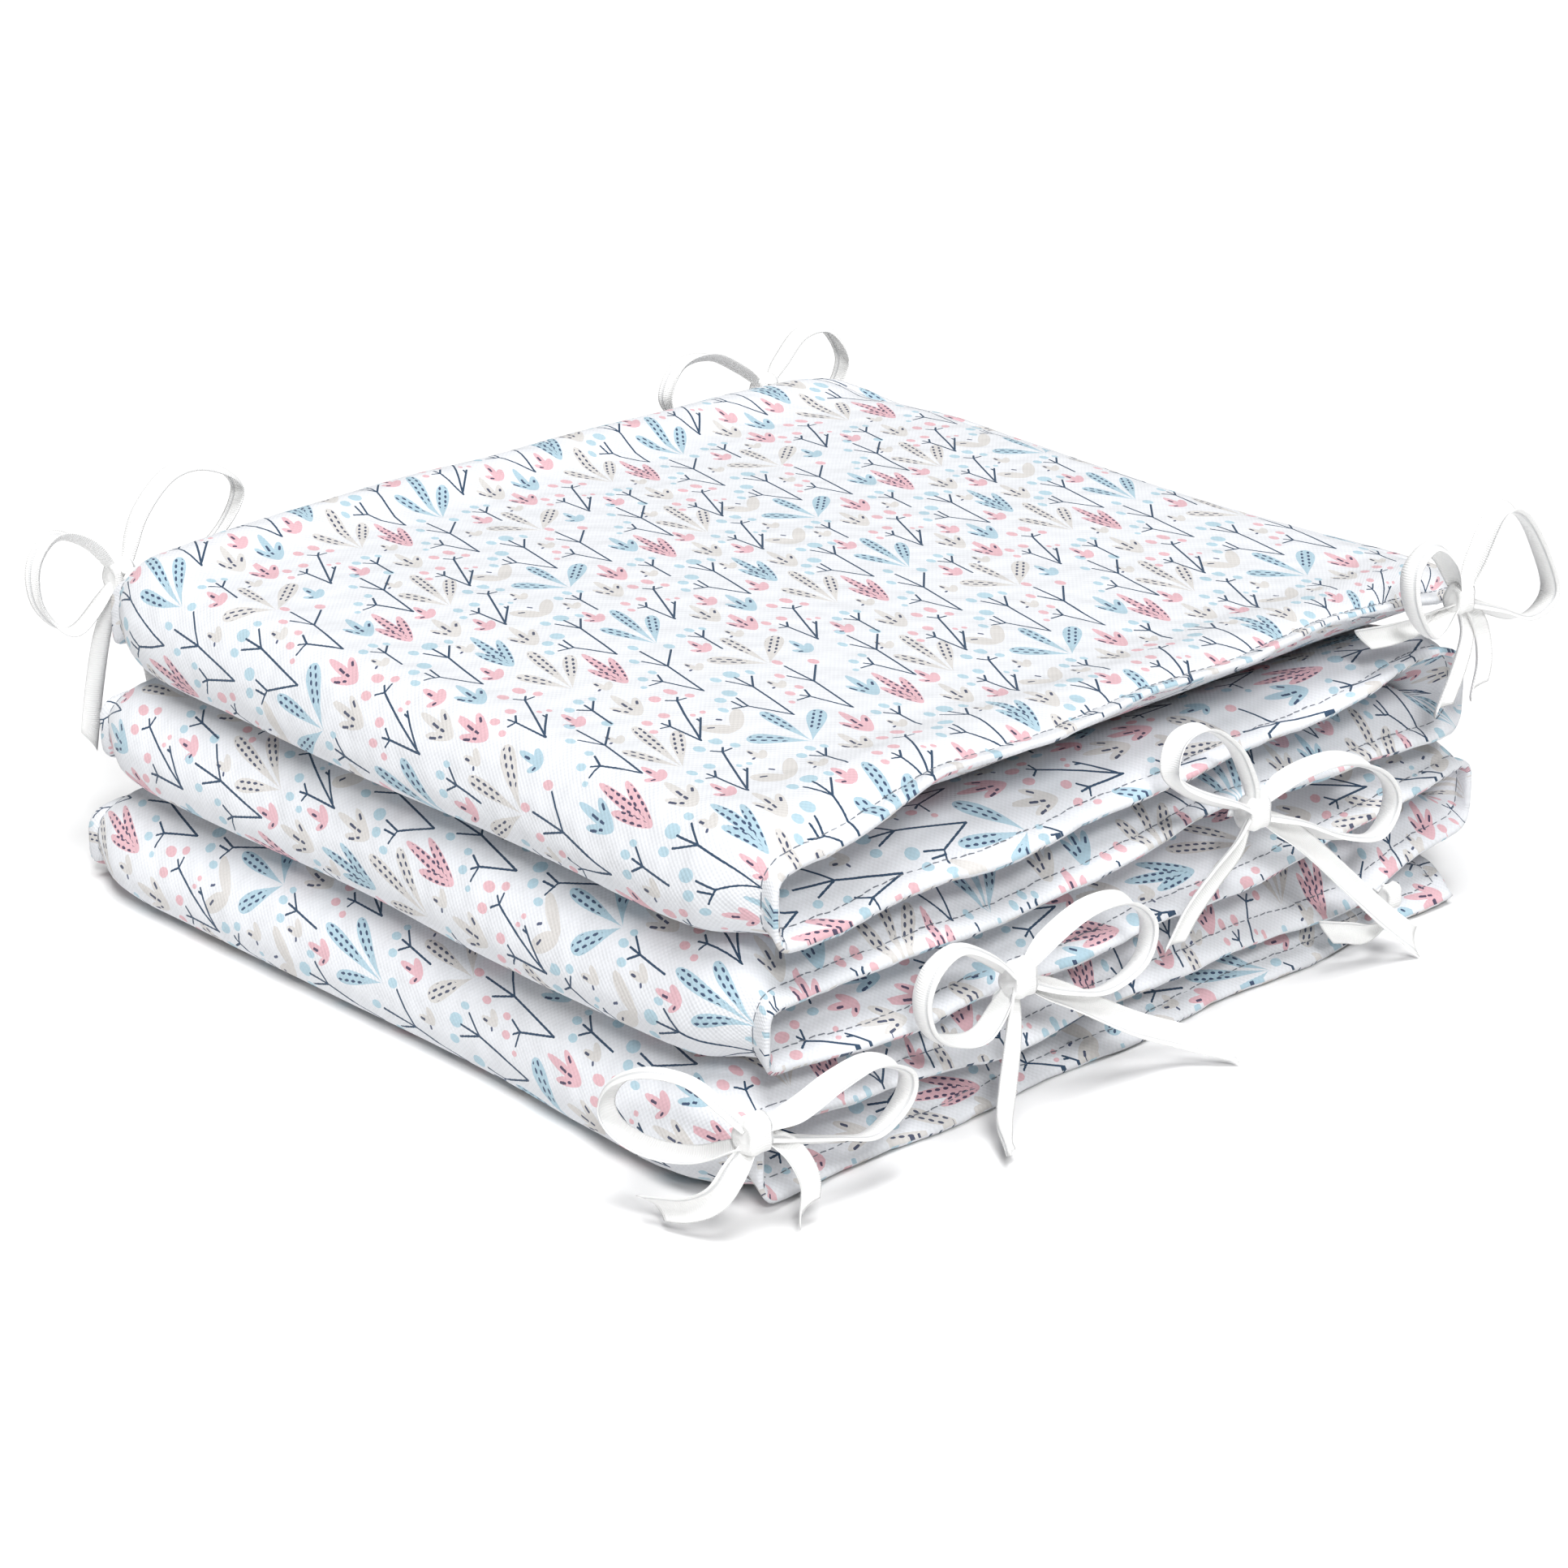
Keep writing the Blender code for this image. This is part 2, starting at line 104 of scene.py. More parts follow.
FOLD_SAG = 6.0  # each fold hangs over, with its sharpest turn low down
SAG_SHARE = 0.55  # the most of its height above the cloth below that it can sag by
FOLD_SQUARENESS = 0.6  # 0 turns in a half circle, 1 in two square corners
SQUARE_REACH = 26.0  # how far in from a seam the squarer turn is felt

SEAM_WANDER = 1.2
SEAM_WAVE = 74.0
SEAM_PHASE = 1.9

# How far the free end of the top layer reaches, from the front seam to the back one: y, x.
TOP_END = (
    (-152, 131),
    (-140, 149),
    (-122, 163),
    (-104, 165),
    (-40, 160),
    (60, 166),
    (100, 169),
    (122, 163),
    (140, 151),
    (152, 143),
)
TOP_END_X = 160.0

# The same for the free end of the bottom layer.
BOTTOM_END = (
    (-152, 138),
    (-140, 143),
    (-116, 146),
    (0, 149),
    (120, 146),
    (140, 143),
    (152, 137),
)
BOTTOM_END_X = 146.0
END_STRETCH_FROM = 60.0  # an end's unevenness fades out by here

FOLD_CLOTH = 56.0  # cloth round the outside of one fold

# The second face is cut from the same cloth, with its print turned a quarter round and shifted.
SECOND_FACE_SHIFT = (97.0, 57.0)

# Rows of the cloth's mesh, as distances in from a seam or a free end.
SEAM_ROWS = (0, 1.2, 2.4, 3.4, 4.2, 5, 5.8, 6.8, 8.4, 10.5, 13, 16, 19.5, 23.5, 28, 33.5, 40, 48,
             58, 70, 84, 100, 117, 135)
END_ROWS = SEAM_ROWS[:14]
ROW_STEP = 4.4  # along the flat runs
FOLD_ROW_STEP = 1.9  # round a fold
ROW_GAP = 2.0  # the least between a free end's own rows and these

# Small unevenness of the sewn cloth
STITCH_PINCH = 0.35  # how far each face is pulled in along the topstitching
PINCH_REACH = 1.5
PUCKER_HEIGHT = 0.28  # little gathers between the stitches and the filling
PUCKER_REACH = 15.0
PUCKER_WAVE = 11.0
LIP_RIPPLE = 0.35  # the free edge ripples up and down
LIP_WAVE = 27.0
LUMP_HEIGHT = 0.5  # broad lumps of the wadding
LUMP_WAVES = (96.0, 83.0)  # along and across
LUMP_SHEARS = (0.35, 0.2)  # so that the lumps don't stand in straight rows

# Creases pressed in by packing: face, where it crosses the band (along), its two ends across the
# band, its half width and its height. Lengths along run from the top layer's free end.
CREASES = (
    (1, 262, -150, -20, 1.5, 0.5),
    (1, 268, 15, 120, 1.8, 0.35),
    (1, 309, -110, -60, 1.7, 0.7),
    (1, 907, -95, -25, 1.8, 0.6),
    (1, 120, -146, -70, 2.2, 0.4),
)
CREASE_BEND = 3.0  # a crease wavers this much from side to side
CREASE_WAVE = 31.0
TROUGH_OFF = 1.7  # a shallow trough runs beside it, this many half widths off
TROUGH_SHARE = 0.8  # of the crease's height
CREASE_FADE = 12.0  # it dies away this near a seam


def read_table(rows, column, at):
    """The value in a column where the first column equals at, along a smooth curve between rows."""
    if at <= rows[0][0]:
        return rows[0][column]
    for i in range(len(rows) - 1):
        low, high = rows[i], rows[i + 1]
        if at <= high[0]:
            before = rows[max(i - 1, 0)]
            after = rows[min(i + 2, len(rows) - 1)]
            step = high[0] - low[0]
            share = (at - low[0]) / step
            start_slope = (high[column] - before[column]) / (high[0] - before[0]) * step
            end_slope = (after[column] - low[column]) / (after[0] - low[0]) * step
            square, cube = share ** 2, share ** 3
            return (
                low[column] * (2 * cube - 3 * square + 1)
                + high[column] * (3 * square - 2 * cube)
                + start_slope * (cube - 2 * square + share)
                + end_slope * (cube - square)
            )
    return rows[-1][column]


def smooth_step(value):
    value = min(max(value, 0.0), 1.0)
    return value * value * (3 - 2 * value)


def layer_height(layer):
    return HALF_THICKNESS + (LAYER_COUNT - layer) * LAYER_PITCH


def swell(distance):
    """Share of the full thickness at a distance in from a seam: flat lip, then an easy shoulder."""
    run = min(max((distance - LIP_DEPTH) / SHOULDER, 0.0), 1.0)
    return math.sin(math.pi / 2 * run)


def band_runs():
    """The band's middle line as flat runs and turns, from the top layer's free end.

    Each is its kind, where it starts and ends along the line, its layer, and then the two x it
    runs between, or for a turn the x of its centre and the side it turns on.
    """
    turns_at = [fold[0] for fold in FOLDS]
    starts, ends = [TOP_END_X, *turns_at], [*turns_at, BOTTOM_END_X]
    runs = []
    along = 0.0
    for layer in range(1, LAYER_COUNT + 1):
        start, end = starts[layer - 1], ends[layer - 1]
        runs.append(("flat", along, along + abs(end - start), layer, start, end))
        along += abs(end - start)
        if layer < LAYER_COUNT:
            runs.append(("turn", along, along + math.pi * TURN_RADIUS, layer, *FOLDS[layer - 1]))
            along += math.pi * TURN_RADIUS
    return runs


RUNS = band_runs()
BAND_LENGTH = RUNS[-1][2]


def centre_at(along, from_seam):
    """(x, z, direction of travel, layer, distance to a free end) of the middle line. It turns in
    a half circle at mid-band, and squarely where the thin seamed edge is folded."""
    for kind, start, end, layer, first, second in RUNS:
        if along <= end:
            break
    share = (along - start) / (end - start)
    if kind == "flat":
        to_end = along if layer == 1 else BAND_LENGTH - along if layer == LAYER_COUNT else BAND_WIDTH
        angle = math.pi if layer % 2 else 0.0
        return first + share * (second - first), layer_height(layer), angle, float(layer), to_end
    turn = math.pi * share
    middle_z = (layer_height(layer) + layer_height(layer + 1)) / 2
    angle = (math.pi if layer % 2 else 0.0) - second * turn
    power = 1.0 - FOLD_SQUARENESS * max(0.0, 1.0 - from_seam / SQUARE_REACH) ** 2
    out, up = math.sin(turn), math.cos(turn)
    x = first + second * TURN_RADIUS * out ** power
    z = middle_z + TURN_RADIUS * math.copysign(abs(up) ** power, up)
    return x, z, angle, layer + share, BAND_WIDTH


def lip_rise(layer, x, front):
    table = FRONT_LIPS if front else BACK_LIPS
    upper = min(int(layer), LAYER_COUNT - 1)
    share = layer - upper
    heights = [read_table(table, upper + step, x) - layer_height(upper + step) for step in (0, 1)]
    return heights[0] + share * (heights[1] - heights[0])


def ripple(at, wave, phase):
    """An uneven wave between -1 and 1: three sines whose lengths don't divide each other."""
    turn = 2 * math.pi * at / wave
    return (math.sin(turn + phase) + 0.7 * math.sin(1.618 * turn + 2.3 * phase + 1)
            + 0.5 * math.sin(2.732 * turn + 4.1 * phase)) / 2.2


def surface_detail(along, y, from_seam, to_end, face):
    """How far the cloth stands out from its plain form: pinched stitching, gathers, lumps, creases."""
    side = 1.0 if y < 0 else 2.0
    edge = min(from_seam, to_end)
    pinch = -STITCH_PINCH * math.exp(-((edge - LIP_DEPTH) / PINCH_REACH) ** 2)
    reach = max(0.0, 1.0 - abs(edge - LIP_DEPTH) / PUCKER_REACH)
    run = along if from_seam < to_end else y
    pucker = PUCKER_HEIGHT * reach ** 2 * ripple(run, PUCKER_WAVE, 1.7 * face + side)
    lumps = (swell(edge) * LUMP_HEIGHT
             * ripple(along + LUMP_SHEARS[0] * y, LUMP_WAVES[0], 0.6 + face)
             * ripple(y - LUMP_SHEARS[1] * along, LUMP_WAVES[1], 2.2 * face))
    crease = 0.0
    for crease_face, at, start, end, half_width, height in CREASES:
        if crease_face == face and start < y < end:
            bend = CREASE_BEND * math.sin((y - start) / CREASE_WAVE)
            fade = math.sin(math.pi * (y - start) / (end - start))
            off = (along - at - bend) / half_width
            trough = TROUGH_SHARE * math.exp(-(off - TROUGH_OFF) ** 2)
            crease += height * fade * (math.exp(-off ** 2) - trough)
    return pinch + pucker + lumps + crease * smooth_step(from_seam / CREASE_FADE)


def band_point(along, y, face):
    """A point of the band's cloth, in metres. Face 1 is what the top layer shows, -1 the other
    face, and 0 the turned edge between them."""
    from_seam = BAND_WIDTH / 2 - abs(y)
    x, z, angle, layer, to_end = centre_at(along, from_seam)
    half = HALF_LIP + (HALF_THICKNESS - HALF_LIP) * swell(from_seam) * swell(to_end)
    if face:
        half += surface_detail(along, y, from_seam, to_end, face)
    point_x = x + face * half * math.sin(angle)
    fade = max(0.0, 1.0 - from_seam / SHOULDER)
    wander = SEAM_WANDER * (1.0 + math.sin(2 * math.pi * x / SEAM_WAVE + SEAM_PHASE * layer))
    point_y = y - math.copysign(fade * wander, y)
    point_z = z - face * half * math.cos(angle)
    near = max(0.0, 1.0 - from_seam / DROOP_REACH)
    point_z += near ** 2 * lip_rise(layer, x, y < 0)
    slope = SEAM_SLOPE
    if y > 0:
        slope += (TOP_BACK_SLOPE - SEAM_SLOPE) * max(0.0, 2.0 - layer)
    point_z += slope / SLOPE_PEAK * (1.0 - near) * near ** 2 * min(point_z / FLOOR_FADE, 1.0)
    lip = max(0.0, 1.0 - from_seam / (2 * LIP_DEPTH))
    point_z += lip * LIP_RIPPLE * ripple(along, LIP_WAVE, 0.9 + (y > 0))
    if layer % 1.0:
        upper = int(layer)
        out = math.sin(math.pi * (layer - upper))
        point_x += FOLDS[upper - 1][1] * out * read_table(FOLD_BULGES, upper, y)
        above = point_z - layer_height(upper + 1) + HALF_THICKNESS
        point_z -= min(FOLD_SAG * out ** 2 * smooth_step(from_seam / SHOULDER), SAG_SHARE * above)
    if layer in (1.0, LAYER_COUNT) and x > END_STRETCH_FROM:
        end_x, outline = (TOP_END_X, TOP_END) if layer == 1.0 else (BOTTOM_END_X, BOTTOM_END)
        share = (x - END_STRETCH_FROM) / (end_x - END_STRETCH_FROM)
        point_x += share * (read_table(outline, 1, y) - end_x)
    if layer == 1.0 and face > 0:
        arch = math.cos(math.pi * y / CROWN_SPAN)
        point_z += TOP_CROWN * arch * swell(from_seam) * swell(to_end) * swell((x - FOLDS[0][0]) / 2)
    if not face:
        if from_seam < TINY:
            point_y += math.copysign(LIP_ROUNDING, y)
        if to_end < TINY:
            point_x += LIP_ROUNDING
    return Vector((point_x, point_y, max(point_z, 0.0))) * MM


def rows_along():
    """Positions along the band, close together at its ends and round its folds."""
    rows = []
    for kind, start, end, *_ in RUNS:
        count = round((end - start) / (FOLD_ROW_STEP if kind == "turn" else ROW_STEP))
        rows += [start + (end - start) * i / count for i in range(count)]
    rows.append(BAND_LENGTH)
    first = END_ROWS[-1] + ROW_GAP
    inner = [row for row in rows if first < row < BAND_LENGTH - first]
    return list(END_ROWS) + inner + [BAND_LENGTH - row for row in reversed(END_ROWS)]


def rows_across():
    front = [-BAND_WIDTH / 2 + row for row in SEAM_ROWS]
    return front + [0.0] + [-y for y in reversed(front)]


def cloth_lengths(points, rows, face):
    """Length of flat cloth down to each point of one column of the mesh. Round the outside of a
    fold it follows the surface, and inside a fold the same length of cloth is gathered up."""
    lengths = [0.0]
    for kind, start, end, _, _, side in RUNS:
        inside = [i for i in range(len(rows) - 1) if start - TINY < rows[i] < end - TINY]
        if kind == "turn" and face == -side:
            steps = [(points[i + 1] - points[i]).length for i in inside]
        else:
            steps = [rows[i + 1] - rows[i] for i in inside]
        scale = (FOLD_CLOTH if kind == "turn" else end - start) / sum(steps)
        for step in steps:
            lengths.append(lengths[-1] + step * scale)
    return lengths


def cloth_widths(points):
    """Width of flat cloth from the middle of the band to each point of one row of the mesh."""
    widths = [0.0]
    for here, ahead in zip(points, points[1:]):
        widths.append(widths[-1] + (ahead - here).length / MM)
    middle = widths[len(widths) // 2]
    return [width - middle for width in widths]


def print_place(length, width, face):
    """Where a point of the band lies on the flat printed cloth, in metres: right, up."""
    if face > 0:
        return (TOP_END_X - length) * MM, width * MM
    return (width + SECOND_FACE_SHIFT[0]) * MM, (SECOND_FACE_SHIFT[1] - length) * MM


def new_object(name, data):
    thing = bpy.data.objects.new(name, data)
    bpy.context.scene.collection.objects.link(thing)
    return thing


def new_solid(name, mesh, material):
    data = bpy.data.meshes.new(name)
    mesh.to_mesh(data)
    mesh.free()
    data.materials.append(material)
    return new_object(name, data)


def new_piece(name, mesh, material):
    piece = new_solid(name, mesh, material)
    piece.data.shade_smooth()
    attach(piece, "root")
    return piece


def add_face(mesh, uv, corners):
    """Adds a face from its corners, each a vertex and its place on the flat cloth."""
    face = mesh.faces.new([vertex for vertex, _ in corners])
    for loop, (_, place) in zip(face.loops, corners):
        loop[uv].uv = place


def add_tube(mesh, uv, rings):
    """Adds the faces between each ring of corners and the next."""
    for ring, following in zip(rings, rings[1:]):
        for k in range(len(ring)):
            ahead = (k + 1) % len(ring)
            add_face(mesh, uv, (ring[k], ring[ahead], following[ahead], following[k]))


def make_pad(material):
    """Both faces of the band as one closed skin, joined by the turned edge."""
    along_rows = rows_along()
    across_rows = rows_across()
    mesh = bmesh.new()
    uv = mesh.loops.layers.uv.new("cloth")
    skins = {}
    for face in (1, -1):
        points = [[band_point(s, y, face) for y in across_rows] for s in along_rows]
        lengths = zip(*[cloth_lengths(column, along_rows, face) for column in zip(*points)])
        skins[face] = [
            [(mesh.verts.new(point), print_place(*place, face)) for point, *place in zip(*row)]
            for row in zip(points, lengths, map(cloth_widths, points))
        ]
    last_row, last_column = len(along_rows) - 1, len(across_rows) - 1
    rim_at = (
        [(0, j) for j in range(last_column)]
        + [(i, last_column) for i in range(last_row)]
        + [(last_row, j) for j in range(last_column, 0, -1)]
        + [(i, 0) for i in range(last_row, 0, -1)]
    )
    rim = [mesh.verts.new(band_point(along_rows[i], across_rows[j], 0)) for i, j in rim_at]
    for face, skin in skins.items():
        for i in range(last_row):
            for j in range(last_column):
                corners = (skin[i][j], skin[i][j + 1], skin[i + 1][j + 1], skin[i + 1][j])
                add_face(mesh, uv, corners[::face])
        edge = [skin[i][j] for i, j in rim_at]
        for k, here in enumerate(edge):
            after = (k + 1) % len(edge)
            ahead = edge[after]
            corners = (ahead, here, (rim[k], here[1]), (rim[after], ahead[1]))
            add_face(mesh, uv, corners[::face])
    bmesh.ops.recalc_face_normals(mesh, faces=mesh.faces)
    pad = new_piece("bumper_pad", mesh, material)
    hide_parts("pad")
    return pad


# ---- topstitching

STITCH_LENGTH = 2.6
STITCH_GAP = 0.5
THREAD_RADIUS = 0.14
STITCH_DRIFT = 0.35  # the line isn't quite straight
STITCH_DRIFT_WAVE = 40.0
FEELER = 0.3  # the cloth this far off shows which way it faces

# Along a stitch: share of its length, and how far the thread's middle stands off the cloth
STITCH_RINGS = ((0.0, -0.16), (0.2, 0.1), (0.8, 0.1), (1.0, -0.16))

# The thread's corners, off the cloth and sideways, in its radii: it is pulled a little flat
THREAD_CORNERS = ((1, 0), (0, 1.2), (-1, 0), (0, -1.2))


def stitch_line():
    """Each stitch round the band, LIP_DEPTH in from its edge, as its two ends: (along, y)."""
    inset = BAND_WIDTH / 2 - LIP_DEPTH
    low, high = LIP_DEPTH, BAND_LENGTH - LIP_DEPTH
    pitch = STITCH_LENGTH + STITCH_GAP
    corners = [(low, -inset), (high, -inset), (high, inset), (low, inset), (low, -inset)]
    for start, end in zip(corners, corners[1:]):
        length = math.dist(start, end)
        count = int(length / pitch)
        for i in range(count):
            first = i / count
            last = first + STITCH_LENGTH / length
            yield [tuple(a + (b - a) * t for a, b in zip(start, end)) for t in (first, last)]


def make_topstitching(material):
    """Every stitch on both faces: a short four-sided thread whose ends sink into the cloth."""
    mesh = bmesh.new()
    for face in (1, -1):
        for start, end in stitch_line():
            lengthways = start[1] == end[1]
            drift = lengthways * STITCH_DRIFT * ripple(start[0] + start[1], STITCH_DRIFT_WAVE, face)
            rings = []
            for share, lift in STITCH_RINGS:
                along, y = (a + (b - a) * share for a, b in zip(start, end))
                y += drift
                here = band_point(along, y, face)
                ahead = band_point(min(along + FEELER, BAND_LENGTH), y, face) - here
                aside = band_point(along, y + FEELER, face) - here
                out = aside.cross(ahead).normalized() * face
                tangent = (ahead if lengthways else aside).normalized()
                flat = out.cross(tangent).normalized()
                centre = here + out * lift * MM
                rings.append([
                    mesh.verts.new(centre + (out * a + flat * b) * THREAD_RADIUS * MM)
                    for a, b in THREAD_CORNERS
                ])
            for ring, following in zip(rings, rings[1:]):
                for k in range(4):
                    mesh.faces.new((ring[k], ring[(k + 1) % 4], following[(k + 1) % 4], following[k]))
            mesh.faces.new(rings[0][::-1])
            mesh.faces.new(rings[-1])
    bmesh.ops.recalc_face_normals(mesh, faces=mesh.faces)
    return new_piece("topstitching", mesh, material)


# ---- tape ties

TAPE_WIDTH = 10.0  # pressed flat
TAPE_THICKNESS = 0.5
EDGE_THINNESS = 0.55  # of that, right at its edges
TAPE_CHORD = 7.2  # from edge to edge as it lies, curled along its length
TAPE_CURL = 2.5  # how far its middle then stands off the line between its edges, at most
CURL_SWING = 0.25  # the curl eases by twice this share and tightens again, along the tape
CURL_WAVE = 15.0
GATHER_REACH = 13.0  # a knot draws the tape in for this far
GATHERED = 0.55  # its share of the chord right in the knot
TAPE_SLANT = 3.5  # a free end is cut at a slant, this much longer at one edge
ROUTE_STEPS = 7  # parts of a tape's curve between two points of its route
WIDTH_SHARES = (-1.0, -0.86, -0.62, -0.3, 0.0, 0.3, 0.62, 0.86, 1.0)

# The turn of tape round a bow's middle: places along it and its girth there, as shares of its size
KNOT_PROFILE = ((-0.66, 0.3), (-0.78, 0.55), (-0.74, 0.78), (-0.45, 0.9), (0.0, 0.86), (0.45, 0.91),
                (0.72, 0.8), (0.78, 0.55), (0.66, 0.3))
KNOT_AROUND = 22
KNOT_POWER = 2.5  # 2 is round, and more is squarer
KNOT_FLARE = 0.1  # it is this much longer on its outer side, and shorter on its inner
KNOT_CREASES = ((0.05, 3, 2.0), (0.04, 5, 0.0))  # share of its girth, number round it, phase

# Each heading: the ways that along and out point.
HEADINGS = {
    "front": (Vector((1.0, 0.0, 0.0)), Vector((0.0, -1.0, 0.0))),
    "back": (Vector((1.0, 0.0, 0.0)), Vector((0.0, 1.0, 0.0))),
    "fold": (Vector((-0.2, 0.98, 0.0)).normalized(), Vector((-0.98, -0.2, 0.0)).normalized()),
}

# Each tie: where its knot is, how large, and its runs of tape. A run's points are (along, out, up,
# roll) from the knot. Roll is 0 where the tape stands out from the seam, 90 where it lies flat.
TIES = {
    "tie_front_corner": ((-161, -158.5, 29.5), (11, 9, 12), (
        ("fold", ((1, 2, 2, 20), (6, 5, 8, 25), (14, 8, 14, 25), (26, 10, 14, 15), (37, 10, 8, 5),
                  (41, 10, 0, 0), (37, 10, -6, 5), (27, 9, -9, 15), (14, 7, -8, 20), (2, 3, -3, 20))),
        ("front", ((2, 1, 1, 20), (12, 3, 3, 30), (24, 5, 8, 25), (38, 5, 9, 10), (49, 5, 3, 0),
                   (49, 4, -6, 0), (38, 4, -12, 10), (24, 3, -9, 25), (3, 1, -2, 20))),
        ("front", ((3, 1, -1, 55), (8, 5, -6, 70), (12, 7, -15, 85), (11, 8, -24, 85))),
        ("fold", ((0, 1, -2, 60), (1, 6, -8, 80), (5, 9, -16, 85), (13, 11, -21, 84),
                  (24, 12, -23.5, 84))),
        ("front", ((0, 0, 1, 90), (3, -2, -1, 90), (6, -5, -3, 90))),
    )),
    "tie_front_middle": ((-66.5, -161.5, 44), (11, 9, 12), (
        ("front", ((-2, 0, 1, 0), (-14, 1, 11, 10), (-27, 2, 18, 10), (-36, 2, 15, 0), (-39, 1, 6, 0),
                   (-36, 1, -4, 0), (-27, 1, -10, 10), (-15, 1, -12, 10), (-3, 0, -3, 0))),
        ("front", ((2, 0, 1, 0), (10, 2, 9, 10), (24, 3, 14, 15), (39, 3, 12, 10), (49, 2, 2, 0),
                   (46, 2, -9, 10), (31, 2, -13, 15), (14, 2, -8, 20), (3, 0, -2, 0))),
        ("front", ((-2, 0, -2, 60), (-6, 3, -14, 80), (-11, 6, -27, 88), (-16, 10, -35, 88),
                   (-21, 18, -39, 89))),
        ("front", ((2, 0, -2, 60), (16, 3, -10, 60), (40, 5, -25, 70), (58, 8, -34, 80),
                   (70, 17, -38.5, 86))),
        ("front", ((0, 0, -1, 90), (0, -4, -4, 90), (0, -7.5, -8, 90))),
    )),
    "tie_front_right": ((29, -161.5, 65.5), (11, 9, 12), (
        ("front", ((-2, 0, 1, 0), (-12, 1, 6, 15), (-28, 2, 14, 10), (-38, 2, 22, 0), (-35, 1, 31, 0),
                   (-24, 1, 32, 0), (-12, 1, 23, 0), (-4, 0, 11, 0), (-1, 0, 3, 0))),
        ("front", ((2, 0, 1, 0), (14, 2, 7, 15), (34, 3, 7, 15), (52, 3, -1, 5), (61, 2, -13, 0),
                   (54, 2, -22, 5), (37, 2, -18, 15), (17, 2, -8, 20), (3, 0, -2, 0))),
        ("front", ((-2, 0, -2, 60), (-10, 3, -7, 75), (-22, 5, -12, 80), (-33, 6, -19, 85),
                   (-41, 7, -27, 85))),
        ("front", ((2, 0, -2, 60), (16, 3, -12, 70), (36, 5, -30, 75), (56, 6, -48, 80),
                   (70, 8, -60, 85))),
        ("front", ((0, 0, 0, 90), (0, -4, -1, 90), (0, -7.5, -2, 90))),
    )),
    "tie_top_end": ((122, -159.5, 107), (10, 8, 11), (
        ("front", ((-1, 0, 2, 0), (-9, 1, 14, 10), (-20, 2, 21, 10), (-28, 2, 15, 0), (-26, 2, 3, 0),
                   (-15, 1, -8, 10), (-3, 0, -3, 0))),
        ("front", ((2, 0, 1, 0), (5, 2, 12, 10), (12, 3, 24, 10), (22, 3, 22, 10), (34, 3, 7, 0),
                   (42, 2, -8, 0), (31, 2, -13, 10), (15, 2, -7, 15), (3, 0, -2, 0))),
        ("front", ((0, 0, -3, 60), (1, 2, -11, 80), (-3, 3, -20, 85), (-11, 4, -32, 85))),
        ("front", ((2, 0, -2, 60), (7, 2, -10, 80), (9, 3, -21, 88), (6, 4, -30, 88))),
        ("front", ((0, 0, -2, 60), (-9, -3, -5, 75), (-20, -8, -8, 86), (-32, -11, -8, 88))),
    )),
    "tie_back_corner": ((-136, 162, 93), (11, 9, 12), (
        ("back", ((-2, 1, 2, 0), (-10, 2, 12, 10), (-21, 2, 17, 5), (-29, 2, 9, 0), (-28, 2, -5, 0),
                  (-18, 1, -14, 5), (-3, 1, -2, 0))),
        ("back", ((2, 1, 2, 0), (9, 3, 17, 10), (22, 4, 28, 10), (36, 4, 28, 10), (48, 3, 18, 0),
                  (38, 2, 4, 10), (18, 1, -4, 15), (3, 1, -2, 0))),
        ("back", ((-1, 0, -3, 60), (-6, 2, -18, 80), (-10, 3, -36, 85), (-13, 4, -54, 85))),
        ("back", ((2, 0, -2, 60), (8, 2, -16, 80), (12, 3, -34, 85), (15, 4, -50, 85))),
        ("back", ((0, 0, 1, 90), (0, -4, 2, 90), (0, -8, 2, 90))),
    )),
    "tie_back_end": ((138, 162, 99), (11, 9, 12), (
        ("back", ((-2, 1, 2, 0), (-11, 2, 9, 10), (-24, 3, 16, 10), (-38, 3, 15, 5), (-45, 2, 4, 0),
                  (-35, 2, -6, 10), (-17, 1, -6, 15), (-3, 1, -2, 0))),
        ("back", ((2, 1, 2, 0), (9, 2, 9, 10), (20, 3, 17, 10), (33, 3, 16, 5), (41, 2, 3, 0),
                  (33, 2, -9, 10), (16, 1, -7, 15), (3, 1, -2, 0))),
        ("back", ((-1, 0, -3, 60), (-7, 2, -18, 80), (-10, 3, -34, 85), (-16, 4, -50, 85))),
        ("back", ((2, 0, -2, 60), (9, 2, -16, 80), (13, 3, -32, 85), (14, 4, -46, 85))),
        ("back", ((0, 0, 1, 90), (-1, -4, 1, 90), (-2, -8, 1, 90))),
    )),
    "tie_low_right": ((94, -162.5, 19.5), (8, 6, 9), (
        ("front", ((0, 0, 0, 60), (-4, 1, -6, 65), (-11, 0.5, -8, 72), (-18, -2, -6.5, 80),
                   (-25, -4.5, -5, 85))),
        ("front", ((0, 0, 0, 90), (0, -2, 0, 90), (0, -5, 1, 90))),
    )),
}


def smooth_route(points):
    """The points of a route with more between them, on a Catmull-Rom curve through all of them."""
    lead = tuple(2 * a - b for a, b in zip(points[0], points[1]))
    trail = tuple(2 * a - b for a, b in zip(points[-1], points[-2]))
    padded = [lead, *points, trail]
    route = []
    for before, start, end, after in zip(padded, padded[1:], padded[2:], padded[3:]):
        for step in range(ROUTE_STEPS):
            t = step / ROUTE_STEPS
            route.append(tuple(
                0.5 * (2 * p1 + (p2 - p0) * t + (2 * p0 - 5 * p1 + 4 * p2 - p3) * t ** 2
                       + (3 * p1 - p0 - 3 * p2 + p3) * t ** 3)
                for p0, p1, p2, p3 in zip(before, start, end, after)
            ))
    route.append(points[-1])
    return route


